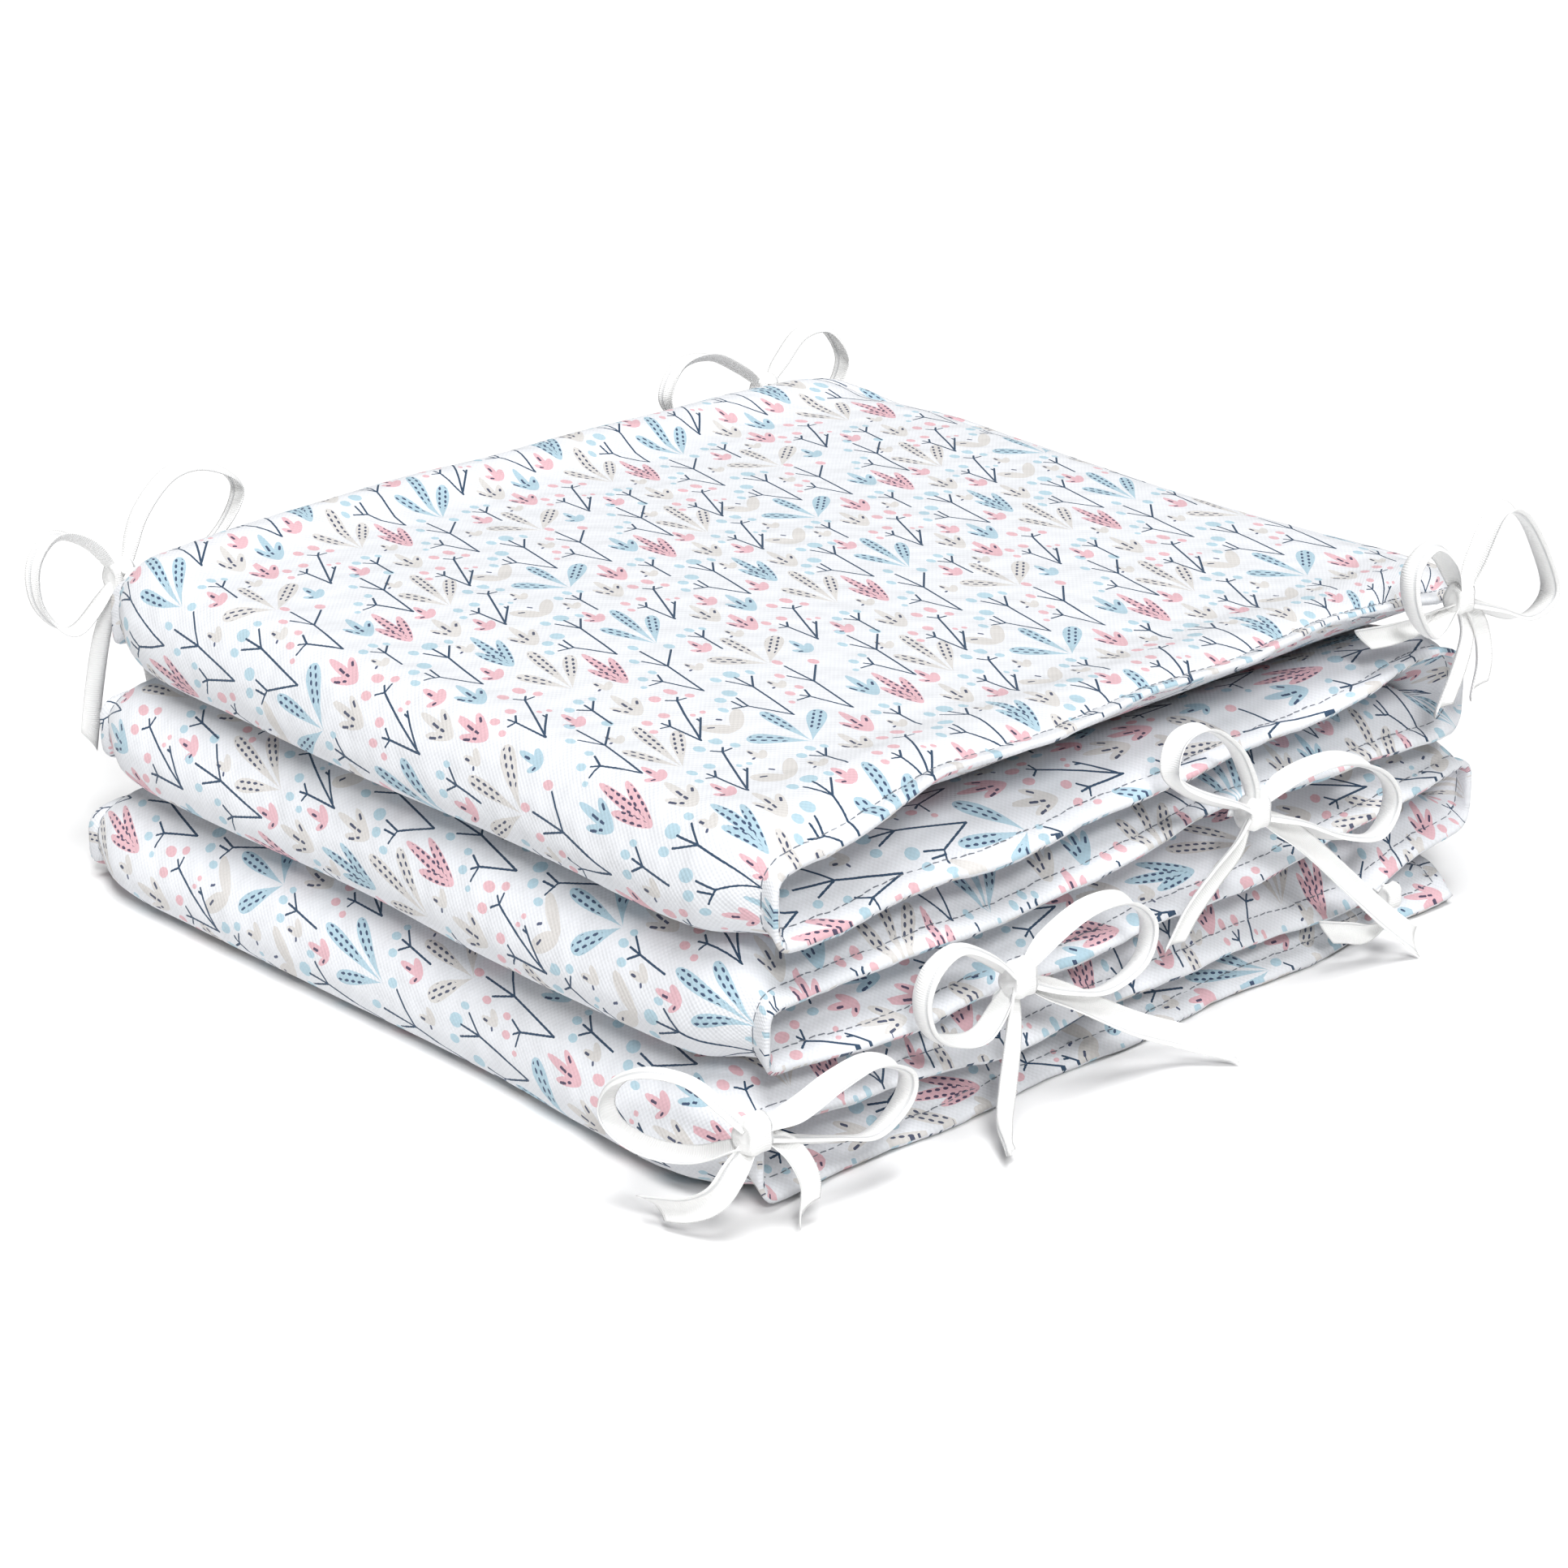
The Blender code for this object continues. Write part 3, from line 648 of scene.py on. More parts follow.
def lay_tape(mesh, uv, run, knot):
    """Adds one run of tape, a thin closed strip, and returns its length in metres."""
    heading, points = run
    along_axis, out_axis = HEADINGS[heading]
    up_axis = Vector((0.0, 0.0, 1.0))
    route = smooth_route(points)
    centres = [Vector(knot) + along_axis * a + out_axis * o + up_axis * u for a, o, u, _ in route]
    total = sum((ahead - here).length for here, ahead in zip(centres, centres[1:]))
    slant = TAPE_SLANT if (centres[-1] - Vector(knot)).length > GATHER_REACH else 0.0
    rings = []
    distance = 0.0
    for i, centre in enumerate(centres):
        tangent = (centres[min(i + 1, len(centres) - 1)] - centres[max(i - 1, 0)]).normalized()
        level = (out_axis - tangent * out_axis.dot(tangent)).normalized()
        flat = tangent.cross(level)
        roll = math.radians(route[i][3])
        across = level * math.cos(roll) + flat * math.sin(roll)
        normal = tangent.cross(across).normalized()
        distance += (centre - centres[i - 1]).length if i else 0.0
        ring = []
        curl = TAPE_CURL * (1.0 - CURL_SWING + CURL_SWING * math.sin(distance / CURL_WAVE))
        gather = smooth_step((centre - Vector(knot)).length / GATHER_REACH)
        chord = TAPE_CHORD * (GATHERED + (1.0 - GATHERED) * gather)
        cut = slant * smooth_step(1.0 - (total - distance) / (3 * TAPE_SLANT))
        for side in (1, -1):
            for share in WIDTH_SHARES[::side]:
                edge = EDGE_THINNESS if abs(share) == 1.0 else 1.0
                lift = curl * (0.5 - share ** 2) + side * edge * TAPE_THICKNESS / 2
                point = centre + across * share * chord / 2 + normal * lift + tangent * share * cut
                ring.append((mesh.verts.new(point * MM), (share * TAPE_WIDTH / 2 * MM, distance * MM)))
        rings.append(ring)
    add_tube(mesh, uv, rings)
    last = len(rings[0]) - 1
    for ring in (rings[0], rings[-1]):
        for k in range(last // 2):
            add_face(mesh, uv, (ring[k], ring[k + 1], ring[last - 1 - k], ring[last - k]))
    return distance * MM


def wrap_knot(mesh, uv, centre, size):
    """Adds the turn of tape that closes a bow: a short barrel, pinched in at both ends."""
    half_x, half_y, half_z = (value / 2 for value in size)
    rings = []
    for place, girth in KNOT_PROFILE:
        ring = []
        for k in range(KNOT_AROUND):
            turn = 2 * math.pi * k / KNOT_AROUND
            out, up = math.sin(turn), math.cos(turn)
            reach = girth * (abs(up) ** KNOT_POWER + abs(out) ** KNOT_POWER) ** (-1 / KNOT_POWER)
            reach *= 1.0 + sum(a * math.sin(n * turn + phase) for a, n, phase in KNOT_CREASES)
            long_way = place * half_x * (1 + KNOT_FLARE * out)
            point = Vector((long_way, reach * half_y * out, reach * half_z * up))
            spot = (place * half_x * MM, turn * half_z * MM)
            ring.append((mesh.verts.new((Vector(centre) + point) * MM), spot))
        rings.append(ring)
    add_tube(mesh, uv, rings)
    for ring in (rings[0][::-1], rings[-1]):
        mesh.faces.new([vertex for vertex, _ in ring])


def make_tie(name, tie, material):
    """A tie: its runs of tape and the turn that holds them, which replace the CAD's plain one."""
    mesh = bmesh.new()
    uv = mesh.loops.layers.uv.new("tape")
    knot, knot_size, runs = tie
    length = sum(lay_tape(mesh, uv, run, knot) for run in runs)
    wrap_knot(mesh, uv, knot, knot_size)
    bmesh.ops.recalc_face_normals(mesh, faces=mesh.faces)
    piece = new_piece("bow_" + name.removeprefix("tie_"), mesh, material)
    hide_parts(name)
    return piece


# ---- materials

def linear(hex_colour):
    """A hex sRGB colour as linear red, green, blue and alpha."""
    values = [int(hex_colour[i:i + 2], 16) / 255 for i in (1, 3, 5)]
    return (*((v / 12.92 if v <= 0.04045 else ((v + 0.055) / 1.055) ** 2.4) for v in values), 1.0)


def add(tree, kind, *inputs, **settings):
    """Adds a node with its settings, fills its inputs in order, and returns its first output."""
    node = tree.nodes.new("ShaderNode" + kind)
    for name, value in settings.items():
        setattr(node, name, value)
    for socket, value in zip([s for s in node.inputs if s.enabled], inputs):
        if isinstance(value, bpy.types.NodeSocket):
            tree.links.new(value, socket)
        elif value is not None:
            socket.default_value = value
    return next(s for s in node.outputs if s.enabled)


def new_material(name, values):
    """A material with these values of its shader, then its node tree and the shader."""
    material = bpy.data.materials.new(name)
    material.use_nodes = True
    shader = material.node_tree.nodes["Principled BSDF"]
    for socket, value in values.items():
        shader.inputs[socket].default_value = value
    return material, material.node_tree, shader


BUMP_STRENGTH = 0.5
BUMP_FILTER = 0.1  # small, so that threads stay sharp


def dress(tree, shader, colour, height):
    """Gives a shader its colour, and a bump from a height in millimetres."""
    tree.links.new(colour, shader.inputs["Base Color"])
    bump = add(tree, "Bump", BUMP_STRENGTH, MM, BUMP_FILTER, height)
    tree.links.new(bump, shader.inputs["Normal"])


# The print's repeat: each row of repeats starts ROW_SHIFT further right
REPEAT_RIGHT = 100.0
REPEAT_UP = 137.0
ROW_SHIFT = 26.5
SHEAR = ROW_SHIFT / REPEAT_UP
PRINT_TURN = math.radians(-1.1)  # the cloth is cut this much off the line of its print
PRINT_ORIGIN = (-94.5, -109.5, 0.0)  # a repeat starts here on the top layer

# Inks
GROUND = linear("#e5e7eb")
BLUE = linear("#aec9d6")
PINK = linear("#dfb5bd")
BEIGE = linear("#d6d3d0")
NAVY = linear("#2d4660")
DASH_TINT = linear("#5b6480")  # dashes are overprinted, so they darken the ink below them
BERRY_BLUE = linear("#b3ceda")
BERRY_PINK = linear("#e0b6bd")

STEM = 0.34  # half the width of a printed line
DASH = 0.41  # half the width of a dash
DASH_HALF_LENGTH = 0.95
DASH_PITCH = 2.9  # along a leaf
DASH_ROW_PITCH = 1.9  # across it
DASH_STAGGER = 0.45  # of a pitch, from one row to the next
LEAF_MARGIN = 0.22  # no dash this near a leaf's edge, which is at 0
INK_STEP = 0.01  # an ink's number rides as a tiny third coordinate of a place
INK_RANGE = 9.0  # and never wraps round, as the place itself does

# Where each motif's foot stands in the repeat: right, up, and which of its inks it takes.
TALL_TWIGS = ((1, 84, 0), (63, 97, 0), (8.5, 17, 0))
OPEN_TWIGS = ((1, 46, 0), (54.5, 17, 0), (24.5, 10.5, 1))
WEDGE_TWIGS = ((32, 95, 1), (52, 55, 1), (79, 21.5, 1), (93, 125, 0))
LITTLE_TWIGS = ((20, 116, 0), (55.5, 125, 0), (26, 67, 0), (70, 48.5, 0))
FANS = ((0, 0, 0), (28.5, 49.5, 1))
NARROW_SPRAYS = ((14.5, 82.5, 0), (77, 74, 1), (64.5, 12, 1))
BIG_TULIPS = ((89.5, 65.5, 1), (41.5, 0.5, 1), (76, 100, 0))
TULIPS = ((43, 131.5, 1), (43.5, 72.5, 1), (78.5, 129, 2), (32.5, 120.5, 2), (89.5, 106.5, 2),
          (40, 85, 2), (78.5, 46.5, 2), (54, 85, 0), (36, 13, 0))
ARROWS = ((88, 125.5, 1), (21.5, 68, 1), (63.5, 53.5, 1), (55.5, 9.5, 1), (43.5, 49, 0),
          (14, 107, 1), (68.5, 96.5, 1), (48.5, 97, 1))
SPRIGS = ((83, 1, 0), (74, 117.5, 0), (16, 121, 0), (51.5, 128, 0), (83, 66, 0), (10, 58.5, 0),
          (36, 71, 0), (19, 33.5, 0), (63, 36.5, 0))
HEARTS = ((5.5, 122.5, 0), (90, 19.5, 0))

# How a leaf's width goes from its foot to its tip
DROP = (3.0, 9.48)  # a fine point at the foot, broadest three quarters of the way up
FINGER = (1.0, 4.0)  # alike at both ends

# Motifs with rows of dashes, the fans, narrow sprays and big tulips: their places, middle, form of
# leaf, leaves (lean in degrees, length, width) and inks.
DASHED_MOTIFS = (
    (FANS, (0.5, 12.0), DROP, ((-40, 18, 5.9), (7, 24.5, 4.2), (46, 22.5, 5.7)), (BLUE, BEIGE)),
    (NARROW_SPRAYS, (3.0, 14.0), DROP, ((-12, 20.5, 4.4), (15, 31.5, 4.2), (36, 24.0, 4.3)),
     (BLUE, BEIGE)),
    (BIG_TULIPS, (2.0, 12.0), FINGER, ((-4, 16, 3.2), (10, 26, 3.3), (25, 19.8, 3.2)), (BLUE, PINK)),
)

# Smaller motifs: their places, middle, leaves, single strokes (x, y, x, y) and inks.
STROKED_MOTIFS = (
    (TULIPS, (1.0, 7.0), ((-13, 10.6, 2.7), (10, 16.4, 2.9), (32, 12.0, 3.0)),
     ((-2.1, 6.3, -2.6, 8.2), (1.0, 7.2, 1.5, 9.6), (4.2, 6.4, 5.2, 7.8), (-1.1, 4.2, -1.3, 5.0),
      (0.7, 4.6, 0.9, 5.8)), (BLUE, PINK, BEIGE)),
    (ARROWS, (0.5, 4.0), ((-38, 5.2, 2.2), (7, 10.4, 2.5), (36, 6.8, 2.8)),
     ((0.4, 5.6, 0.5, 7.2), (-2.0, 2.2, -1.4, 1.9)), (BLUE, PINK)),
    (SPRIGS, (0.5, 3.0), ((4, 7.0, 2.3), (42, 5.8, 2.5)),
     ((0.0, 4.6, 0.1, 5.8), (-1.9, 1.6, -1.3, 1.9)), (BEIGE,)),
    (HEARTS, (0.0, 4.0), ((-33, 11.0, 5.6), (41, 14.4, 4.2)),
     ((-4.2, 6.9, -3.0, 6.2), (0.7, 9.0, 1.2, 7.9)), (BEIGE,)),
)

# Twigs: their places, middle, stems (x, y, x, y) and berries (x, y, half width, half height).
TWIGS = (
    (TALL_TWIGS, (0.0, 17.0),
     ((0, 0, 5, 22.5), (5, 22.5, 2, 30.5), (5, 22.5, 5.6, 31), (5, 22.5, 10, 28.8),
      (0, 0, -5.6, 12.6), (-5.6, 12.6, -10, 14), (-7, 12.9, -6.9, 17.8), (-5.6, 12.6, -4.2, 19)),
     ((0.3, 33, 1.4, 2.0), (6.2, 33.2, 2.2, 2.7), (11.5, 31.2, 1.1, 1.8), (-12.5, 15, 1.2, 1.9),
      (-8.7, 20.6, 1.6, 1.9), (-3.5, 22.8, 2.0, 2.5))),
    (OPEN_TWIGS, (2.7, 18.5),
     ((0, 0, 4.8, 21.2), (4.8, 21.2, 6.1, 35), (4.8, 21.2, 13.6, 30.2), (4.8, 21.2, 1.8, 29),
      (0, 0, -3.7, 13.4), (-3.7, 13.4, -8.2, 13.6), (-3.7, 13.4, -1.6, 18), (-3.7, 13.4, -5.2, 15.8)),
     ((6.3, 38.4, 1.3, 2.0), (14.9, 32.6, 1.5, 2.0), (0.1, 30.4, 1.2, 1.9), (-10.4, 13.5, 0.9, 1.1),
      (-1.4, 20.6, 1.1, 1.6), (-6.5, 18.6, 1.3, 1.8))),
    (WEDGE_TWIGS, (4.5, 16.0),
     ((0, 0, 0.2, 13.2), (0.2, 13.2, -2.2, 14.2), (0.2, 13.2, -0.1, 16.4), (0.2, 13.2, 2.6, 16.4),
      (0, 0, 11.8, 23.9), (11.8, 23.9, 10, 26.6), (11.8, 23.9, 14.9, 23.8), (11.8, 23.9, 13.6, 25.9),
      (1, 1.6, 9.6, 11.4), (8.2, 9.8, 8.5, 11.6)),
     ((-2.6, 19.6, 1.3, 1.9), (3.5, 19.7, 1.5, 1.9), (-4.9, 14, 1.1, 1.4), (8.7, 29.8, 1.5, 2.1),
      (14.8, 30.4, 1.6, 2.5), (16.9, 24.6, 1.3, 1.6), (9.2, 14.2, 0.7, 1.0), (11.9, 13.2, 0.8, 1.0))),
    (LITTLE_TWIGS, (2.0, 8.5),
     ((0, 0, 1.9, 10.6), (1.9, 10.6, -0.6, 14.2), (1.9, 10.6, 2.6, 15), (1.9, 10.6, 5.8, 15)),
     ((-2.1, 15.8, 1.3, 1.8), (2.8, 17.9, 1.3, 1.9), (6.5, 16.4, 1.0, 1.4))),
)


def nearest_motif(tree, cloth, places, centre):
    """Millimetres from the foot of the nearest of these motifs, and the number of its ink."""
    reach_x, reach_y = REPEAT_RIGHT / 2, REPEAT_UP / 2
    best = best_length = None
    for right, up, ink in places:
        middle_up = up + centre[1]
        middle_right = right + centre[0] - SHEAR * middle_up
        offset = add(tree, "VectorMath", cloth, (middle_right, middle_up, -INK_STEP * ink),
                     operation="SUBTRACT")
        offset = add(tree, "VectorMath", offset, (reach_x, reach_y, INK_RANGE),
                     (-reach_x, -reach_y, -INK_RANGE), operation="WRAP")
        length = add(tree, "VectorMath", offset, operation="LENGTH")
        if best is None:
            best, best_length = offset, length
        else:
            closer = add(tree, "Math", length, best_length, operation="LESS_THAN")
            best = add(tree, "Mix", closer, best, offset, data_type="VECTOR")
            best_length = add(tree, "Math", length, best_length, operation="MINIMUM")
    right, up, which = add(tree, "SeparateXYZ", best).node.outputs
    right = add(tree, "Math", up, SHEAR, right, operation="MULTIPLY_ADD")
    spot = add(tree, "CombineXYZ", right, up, 0.0)
    spot = add(tree, "VectorMath", spot, (*centre, 0.0), operation="ADD")
    return spot, add(tree, "Math", which, 1 / INK_STEP, operation="MULTIPLY")


def join(tree, values, operation):
    """The MINIMUM or MAXIMUM of several values."""
    result = values[0]
    for value in values[1:]:
        result = add(tree, "Math", result, value, operation=operation)
    return result


def line(tree, spot, start, end):
    """Distance from a straight printed line."""
    run = (end[0] - start[0], end[1] - start[1])
    square = run[0] ** 2 + run[1] ** 2
    near = add(tree, "VectorMath", spot, (*start, 0.0), operation="SUBTRACT")
    share = add(tree, "VectorMath", near, (run[0] / square, run[1] / square, 0.0),
                operation="DOT_PRODUCT")
    share = add(tree, "Clamp", share, 0.0, 1.0)
    foot = add(tree, "VectorMath", (*run, 0.0), share, operation="SCALE")
    return add(tree, "VectorMath", near, foot, operation="DISTANCE")


def lines(tree, spot, rows):
    """Distance from the nearest of several lines."""
    return join(tree, [line(tree, spot, row[:2], row[2:]) for row in rows], "MINIMUM")


def berries(tree, spot, dots):
    """Under 1 inside any of these ovals."""
    found = []
    for x, y, half_x, half_y in dots:
        near = add(tree, "VectorMath", spot, (x, y, 0.0), operation="SUBTRACT")
        near = add(tree, "VectorMath", near, (1 / half_x, 1 / half_y, 1.0), operation="MULTIPLY")
        found.append(add(tree, "VectorMath", near, operation="LENGTH"))
    return join(tree, found, "MINIMUM")


def blade(tree, spot, shape, lean, length, width):
    """One leaf with its foot at the middle: over 0 inside, and the place along and across it."""
    power, swelling = shape
    angle = math.radians(lean)
    ahead = (math.sin(angle), math.cos(angle))
    along = add(tree, "VectorMath", spot, (ahead[0] / length, ahead[1] / length, 0.0),
                operation="DOT_PRODUCT")
    across = add(tree, "VectorMath", spot, (2 * ahead[1] / width, -2 * ahead[0] / width, 0.0),
                 operation="DOT_PRODUCT")
    size = add(tree, "Math", along, power, operation="POWER")
    rest = add(tree, "Math", along, -swelling, swelling, operation="MULTIPLY_ADD")
    size = add(tree, "Math", size, rest, operation="MULTIPLY")
    square = add(tree, "Math", across, across, operation="MULTIPLY")
    inside = add(tree, "Math", size, square, operation="SUBTRACT")
    return inside, along, across


def leaves(tree, spot, shape, rows):
    """A group of leaves: over 0 inside any, and the place on that one in dashes and dash rows."""
    best = place = None
    for lean, length, width in rows:
        inside, along, across = blade(tree, spot, shape, lean, length, width)
        along = add(tree, "Math", along, length / DASH_PITCH, operation="MULTIPLY")
        across = add(tree, "Math", across, width / 2 / DASH_ROW_PITCH, 0.5, operation="MULTIPLY_ADD")
        here = add(tree, "CombineXYZ", along, across, 0.0)
        if best is None:
            best, place = inside, here
        else:
            more = add(tree, "Math", inside, best, operation="GREATER_THAN")
            place = add(tree, "Mix", more, place, here, data_type="VECTOR")
            best = add(tree, "Math", inside, best, operation="MAXIMUM")
    return best, place


def prongs(tree, spot, rows):
    """Over 0 inside any prong of a motif."""
    return join(tree, [blade(tree, spot, FINGER, *row)[0] for row in rows], "MAXIMUM")


def leaf_dashes(tree, inside, place):
    """1 on the dashes of a leaf: staggered rows of short strokes, kept off its edge."""
    along, across, _ = add(tree, "SeparateXYZ", place).node.outputs
    row = add(tree, "Math", across, operation="ROUND")
    along = add(tree, "Math", row, DASH_STAGGER, along, operation="MULTIPLY_ADD")
    along = add(tree, "Math", along, operation="FRACT")
    long_way = DASH_PITCH / DASH_HALF_LENGTH
    along = add(tree, "Math", along, long_way, -long_way / 2, operation="MULTIPLY_ADD")
    across = add(tree, "Math", across, row, operation="SUBTRACT")
    across = add(tree, "Math", across, DASH_ROW_PITCH / DASH, operation="MULTIPLY")
    stroke = add(tree, "CombineXYZ", along, across, 0.0)
    stroke = add(tree, "VectorMath", stroke, operation="LENGTH")
    stroke = add(tree, "Math", stroke, 1.0, operation="LESS_THAN")
    clear = add(tree, "Math", inside, LEAF_MARGIN, operation="GREATER_THAN")
    return add(tree, "Math", stroke, clear, operation="MULTIPLY")


def lay_ink(tree, inside, which, inks, below):
    """The colour of the print with one more motif laid on it, in the ink of its number."""
    ink = inks[0]
    for number, other in enumerate(inks[1:]):
        past = add(tree, "Math", which, number + 0.5, operation="GREATER_THAN")
        ink = add(tree, "Mix", past, ink, other, data_type="RGBA")
    return add(tree, "Mix", inside, below, ink, data_type="RGBA")


def printed_cloth(tree, cloth):
    """The floral print's colour, from a place on the flat cloth in millimetres."""
    colour = GROUND
    dashes, strokes, stems = [], [], []
    for places, centre, shape, rows, inks in DASHED_MOTIFS:
        spot, which = nearest_motif(tree, cloth, places, centre)
        inside, place = leaves(tree, spot, shape, rows)
        mask = add(tree, "Math", inside, 0.0, operation="GREATER_THAN")
        colour = lay_ink(tree, mask, which, inks, colour)
        dashes.append(leaf_dashes(tree, inside, place))
    for places, centre, rows, marks, inks in STROKED_MOTIFS:
        spot, which = nearest_motif(tree, cloth, places, centre)
        mask = add(tree, "Math", prongs(tree, spot, rows), 0.0, operation="GREATER_THAN")
        colour = lay_ink(tree, mask, which, inks, colour)
        strokes.append(lines(tree, spot, marks))
    for places, centre, rows, dots in TWIGS:
        spot, which = nearest_motif(tree, cloth, places, centre)
        stems.append(lines(tree, spot, rows))
        mask = add(tree, "Math", berries(tree, spot, dots), 1.0, operation="LESS_THAN")
        colour = lay_ink(tree, mask, which, (BERRY_BLUE, BERRY_PINK), colour)
    dark = add(tree, "Math", join(tree, strokes, "MINIMUM"), DASH, operation="LESS_THAN")
    dark = join(tree, [dark, *dashes], "MAXIMUM")
    colour = add(tree, "Mix", dark, colour, DASH_TINT, data_type="RGBA", blend_type="MULTIPLY")
    stem = add(tree, "Math", join(tree, stems, "MINIMUM"), STEM, operation="LESS_THAN")
    return add(tree, "Mix", stem, colour, NAVY, data_type="RGBA")


THREAD_PITCH = 0.85  # real threads lie 0.4 mm apart, which is too fine to show
THREAD_RELIEF = 0.11
PAINTED_THREAD_SHADE = 0.035  # painted light on the weave's crowns and painted shade in its hollows: crowns are this much lighter and hollows this much darker
CLOTH_SHADE = 0.975
CRUMPLE_RELIEF = 2.4  # broad, and so a gentle slope
CRUMPLE_SCALE = 0.09  # per millimetre
CRUMPLE_ROUGHNESS = 0.55
INK_RAGGED = 0.05  # ink follows the threads, so each shape's edge wavers this much
THREAD_MOTTLE = 900.0  # per metre, about as long as the sewing thread's twist
TAPE_RIB_PITCH = 0.7  # the tape's cross threads
TAPE_RIB_RELIEF = 0.08
TAPE_STITCH_OFF = 3.4  # a line of stitching runs inside one edge, this far from the middle
TAPE_STITCH_GROOVE = (0.1, 0.6)  # half the width of its groove, at the bottom and at the top; painted shade greys the tape inside it, most at the bottom


def weave(tree, place):
    """Height of a plain weave, from a place in millimetres: threads pass over and under."""
    turns = add(tree, "VectorMath", place, (math.pi / THREAD_PITCH,) * 2 + (0.0,), operation="MULTIPLY")
    turns = add(tree, "VectorMath", turns, operation="SINE")
    warp, weft, _ = add(tree, "SeparateXYZ", turns).node.outputs
    return add(tree, "Math", warp, weft, operation="MULTIPLY")


def printed_cotton():
    """Percale cotton, woven plain and roller printed: matt, a little hairy, ink sunk in the thread."""
    material, tree, shader = new_material("printed cotton percale", {
        "Roughness": 0.88,
        "Sheen Weight": 0.15,
        "Sheen Roughness": 0.6,
        "Specular IOR Level": 0.25,
    })
    place = add(tree, "UVMap", uv_map="cloth")
    place = add(tree, "VectorMath", place, (1 / MM, 1 / MM, 0.0), operation="MULTIPLY")
    threads = weave(tree, place)
    ragged = add(tree, "Math", threads, INK_RAGGED, operation="MULTIPLY")
    ragged = add(tree, "CombineXYZ", ragged, ragged, 0.0)
    cloth = add(tree, "VectorMath", place, ragged, operation="ADD")
    cos, sin = math.cos(PRINT_TURN), math.sin(PRINT_TURN)
    cloth = add(tree, "VectorMath", cloth, PRINT_ORIGIN, operation="SUBTRACT")
    right = add(tree, "VectorMath", cloth, (cos, sin, 0.0), operation="DOT_PRODUCT")
    up = add(tree, "VectorMath", cloth, (-sin, cos, 0.0), operation="DOT_PRODUCT")
    right = add(tree, "Math", up, -SHEAR, right, operation="MULTIPLY_ADD")
    cloth = add(tree, "CombineXYZ", right, up, 0.0)
    colour = printed_cloth(tree, cloth)

    # Painted light and shade from thread to thread, crowns lighter and hollows darker, and the faint
    # cloudiness of cotton over wadding
    shade = add(tree, "Math", threads, PAINTED_THREAD_SHADE, CLOTH_SHADE, operation="MULTIPLY_ADD")
    shade = add(tree, "CombineColor", shade, shade, shade)
    colour = add(tree, "Mix", 1.0, colour, shade, data_type="RGBA", blend_type="MULTIPLY")
    crumple = add(tree, "TexNoise", place, CRUMPLE_SCALE, 1.0, CRUMPLE_ROUGHNESS,
                  noise_dimensions="2D")
    height = add(tree, "Math", crumple, CRUMPLE_RELIEF, operation="MULTIPLY")
    height = add(tree, "Math", threads, THREAD_RELIEF, height, operation="MULTIPLY_ADD")
    dress(tree, shader, colour, height)
    return material


def sewing_thread():
    """Grey polyester sewing thread: a fine twisted line with a dull shine. Its dark grey is partly the
    thread's own colour and partly painted shade of the groove it lies in.
    """
    material, tree, shader = new_material("grey sewing thread with painted groove shade", {"Roughness": 0.6})
    place = add(tree, "NewGeometry")
    noise = add(tree, "TexNoise", place, None, THREAD_MOTTLE, 2.0, 0.5)
    # the dark grey is partly the thread's own colour and partly painted shade of the stitch groove
    colour = add(tree, "Mix", noise, linear("#5a616c"), linear("#8b919a"), data_type="RGBA")
    tree.links.new(colour, shader.inputs["Base Color"])
    return material


def cotton_tape():
    """Bleached cotton tape: close cross threads and a firm selvedge along both edges."""
    material, tree, shader = new_material("bleached cotton tape", {
        "Roughness": 0.8,
        "Sheen Weight": 0.2,
        "Specular IOR Level": 0.3,
    })
    place = add(tree, "UVMap", uv_map="tape")
    place = add(tree, "VectorMath", place, (1 / MM, 1 / MM, 0.0), operation="MULTIPLY")
    across, along, _ = add(tree, "SeparateXYZ", place).node.outputs
    line_off = add(tree, "Math", across, TAPE_STITCH_OFF, operation="SUBTRACT")
    line_off = add(tree, "Math", line_off, operation="ABSOLUTE")
    groove = add(tree, "MapRange", line_off, *TAPE_STITCH_GROOVE, 0.0, 1.0)
    ribs = add(tree, "Math", along, 2 * math.pi / TAPE_RIB_PITCH, operation="MULTIPLY")
    ribs = add(tree, "Math", ribs, operation="SINE")
    # painted shade: the tape is painted greyer down in the stitching's groove, and white at its rim
    colour = add(tree, "Mix", groove, linear("#e2e3e4"), linear("#f8f8f7"), data_type="RGBA")
    height = add(tree, "Math", ribs, TAPE_RIB_RELIEF, groove, operation="MULTIPLY_ADD")
    dress(tree, shader, colour, height)
    return material


# ---- stage

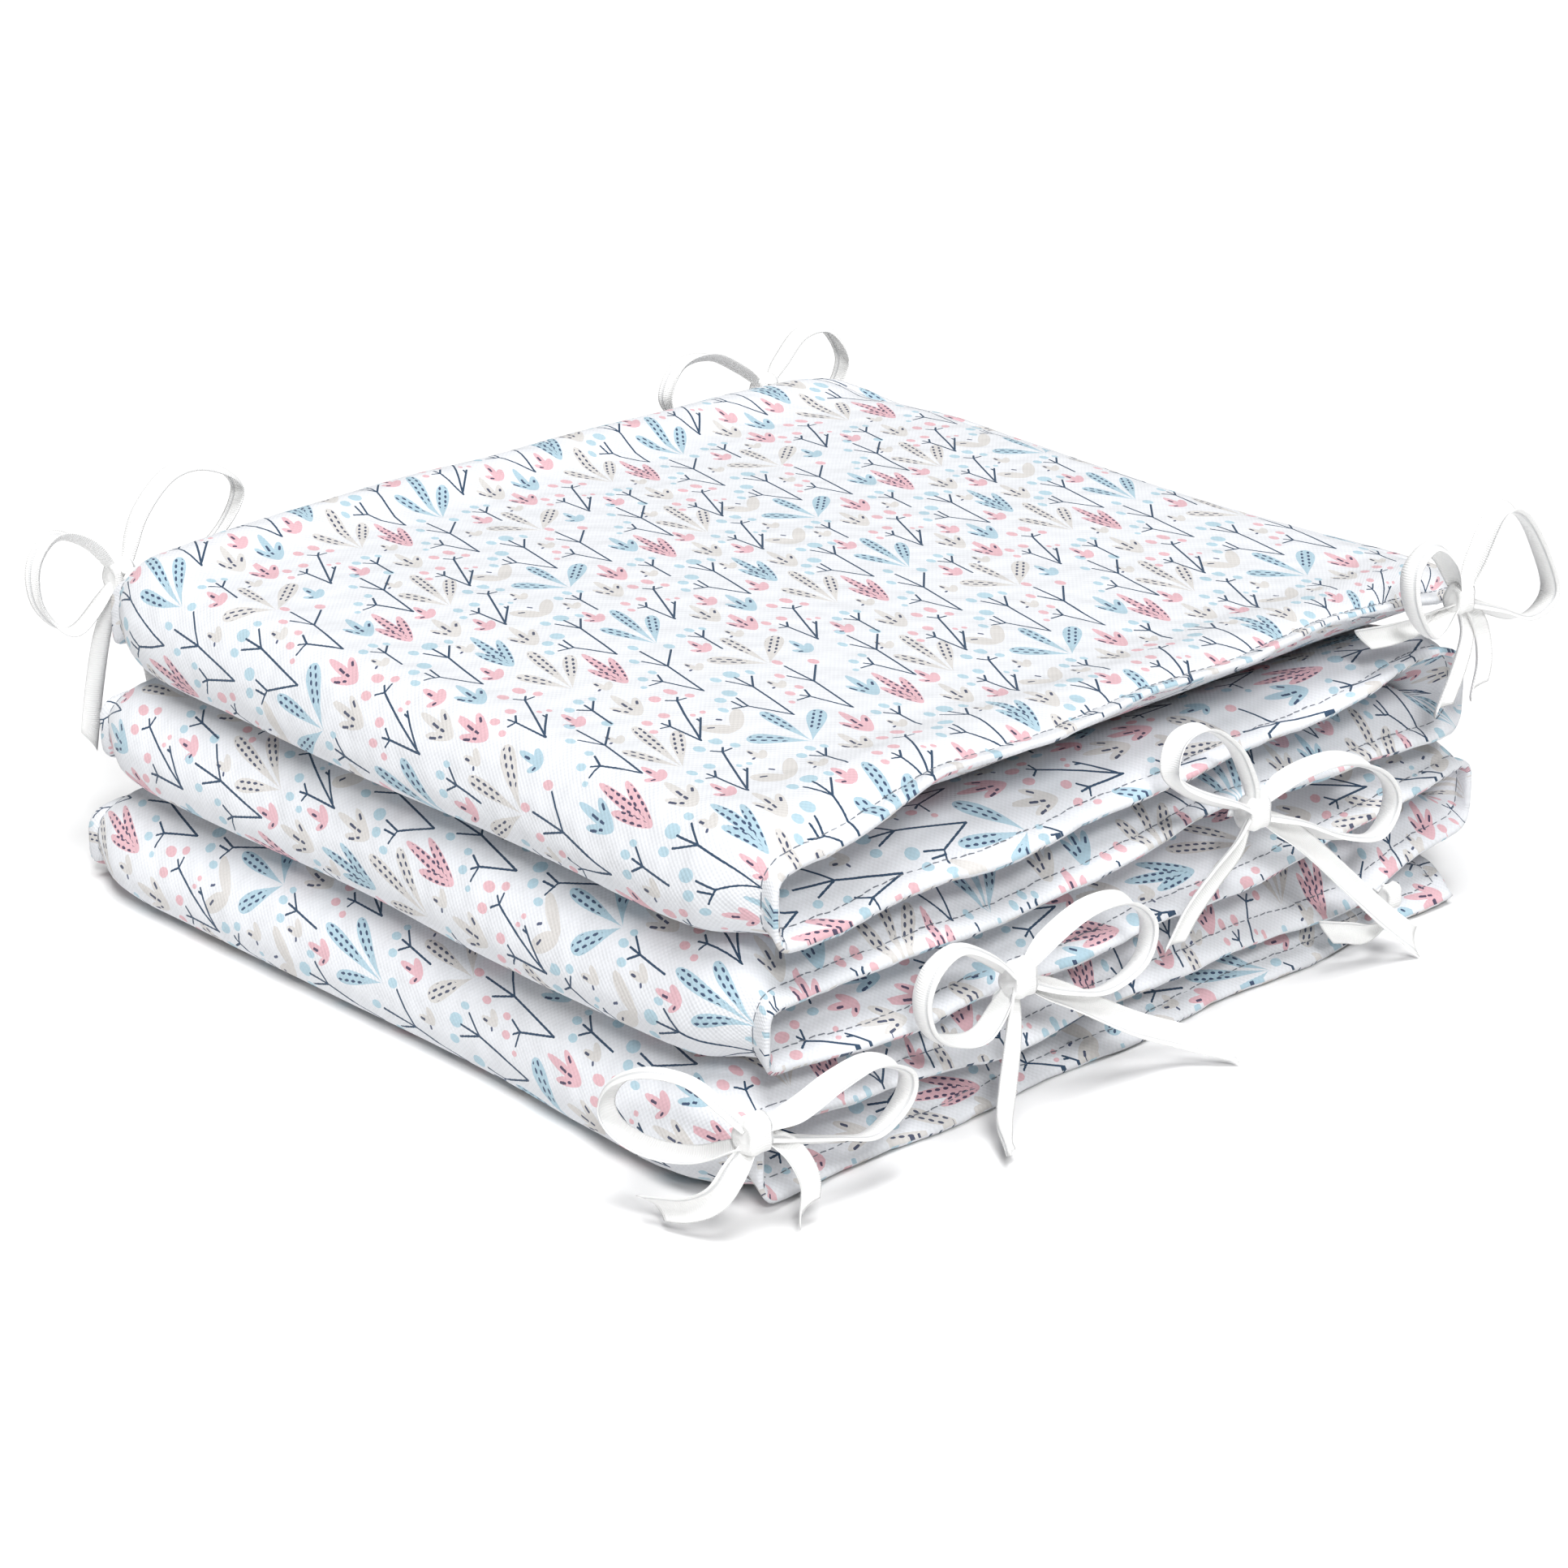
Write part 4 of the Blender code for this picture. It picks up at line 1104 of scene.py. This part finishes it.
CAMERA_AIM = (-46.0, -46.0, 60.0)
CAMERA_AZIMUTH = math.radians(-42.9)
CAMERA_HEIGHT = math.radians(22.4)
CAMERA_DISTANCE = 1072.0
CAMERA_LENS = 83.9
SENSOR_WIDTH = 36.0
FLOOR_REACH = 6.0  # metres, from its middle to its edges
SKY_LIGHT = 0.05  # plain white light from all round, under the two lamps

# Each lamp: its name, the direction that it is seen in, its strength, and its width in degrees
LAMPS = (
    ("overhead", (-0.15, -0.22, 1.0), 2.85, 30),
    ("side", (-0.56, -0.84, 0.95), 1.6, 14),
)


def set_camera():
    back = Vector((
        math.sin(CAMERA_AZIMUTH) * math.cos(CAMERA_HEIGHT),
        -math.cos(CAMERA_AZIMUTH) * math.cos(CAMERA_HEIGHT),
        math.sin(CAMERA_HEIGHT),
    ))
    data = bpy.data.cameras.new("camera")
    data.lens = CAMERA_LENS
    data.sensor_width = SENSOR_WIDTH
    camera = new_object("camera", data)
    camera.location = (Vector(CAMERA_AIM) + back * CAMERA_DISTANCE) * MM
    camera.rotation_mode = "QUATERNION"
    camera.rotation_quaternion = (-back).to_track_quat("-Z", "Y")
    bpy.context.scene.camera = camera


def add_lamp(name, toward, strength, spread):
    """A broad, even lamp, far away."""
    data = bpy.data.lights.new(name, "SUN")
    data.energy = strength
    data.angle = math.radians(spread)
    lamp = new_object(name, data)
    lamp.rotation_mode = "QUATERNION"
    lamp.rotation_quaternion = Vector(toward).to_track_quat("Z", "Y")


def set_studio():
    mesh = bmesh.new()
    bmesh.ops.create_grid(mesh, x_segments=1, y_segments=1, size=FLOOR_REACH)
    paper, _, _ = new_material("white paper floor", {"Roughness": 0.9, "Base Color": linear("#f4f4f4")})
    new_solid("floor", mesh, paper)
    world = bpy.data.worlds.new("studio")
    world.use_nodes = True
    background = world.node_tree.nodes["Background"]
    background.inputs["Color"].default_value = linear("#ffffff")
    background.inputs["Strength"].default_value = SKY_LIGHT
    bpy.context.scene.world = world
    for name, toward, strength, spread in LAMPS:
        add_lamp(name, toward, strength, spread)
    bpy.context.scene.view_settings.view_transform = "Standard"


set_camera()
set_studio()
make_pad(printed_cotton())
make_topstitching(sewing_thread())
tape = cotton_tape()
for tie_name, tie_rows in TIES.items():
    make_tie(tie_name, tie_rows, tape)
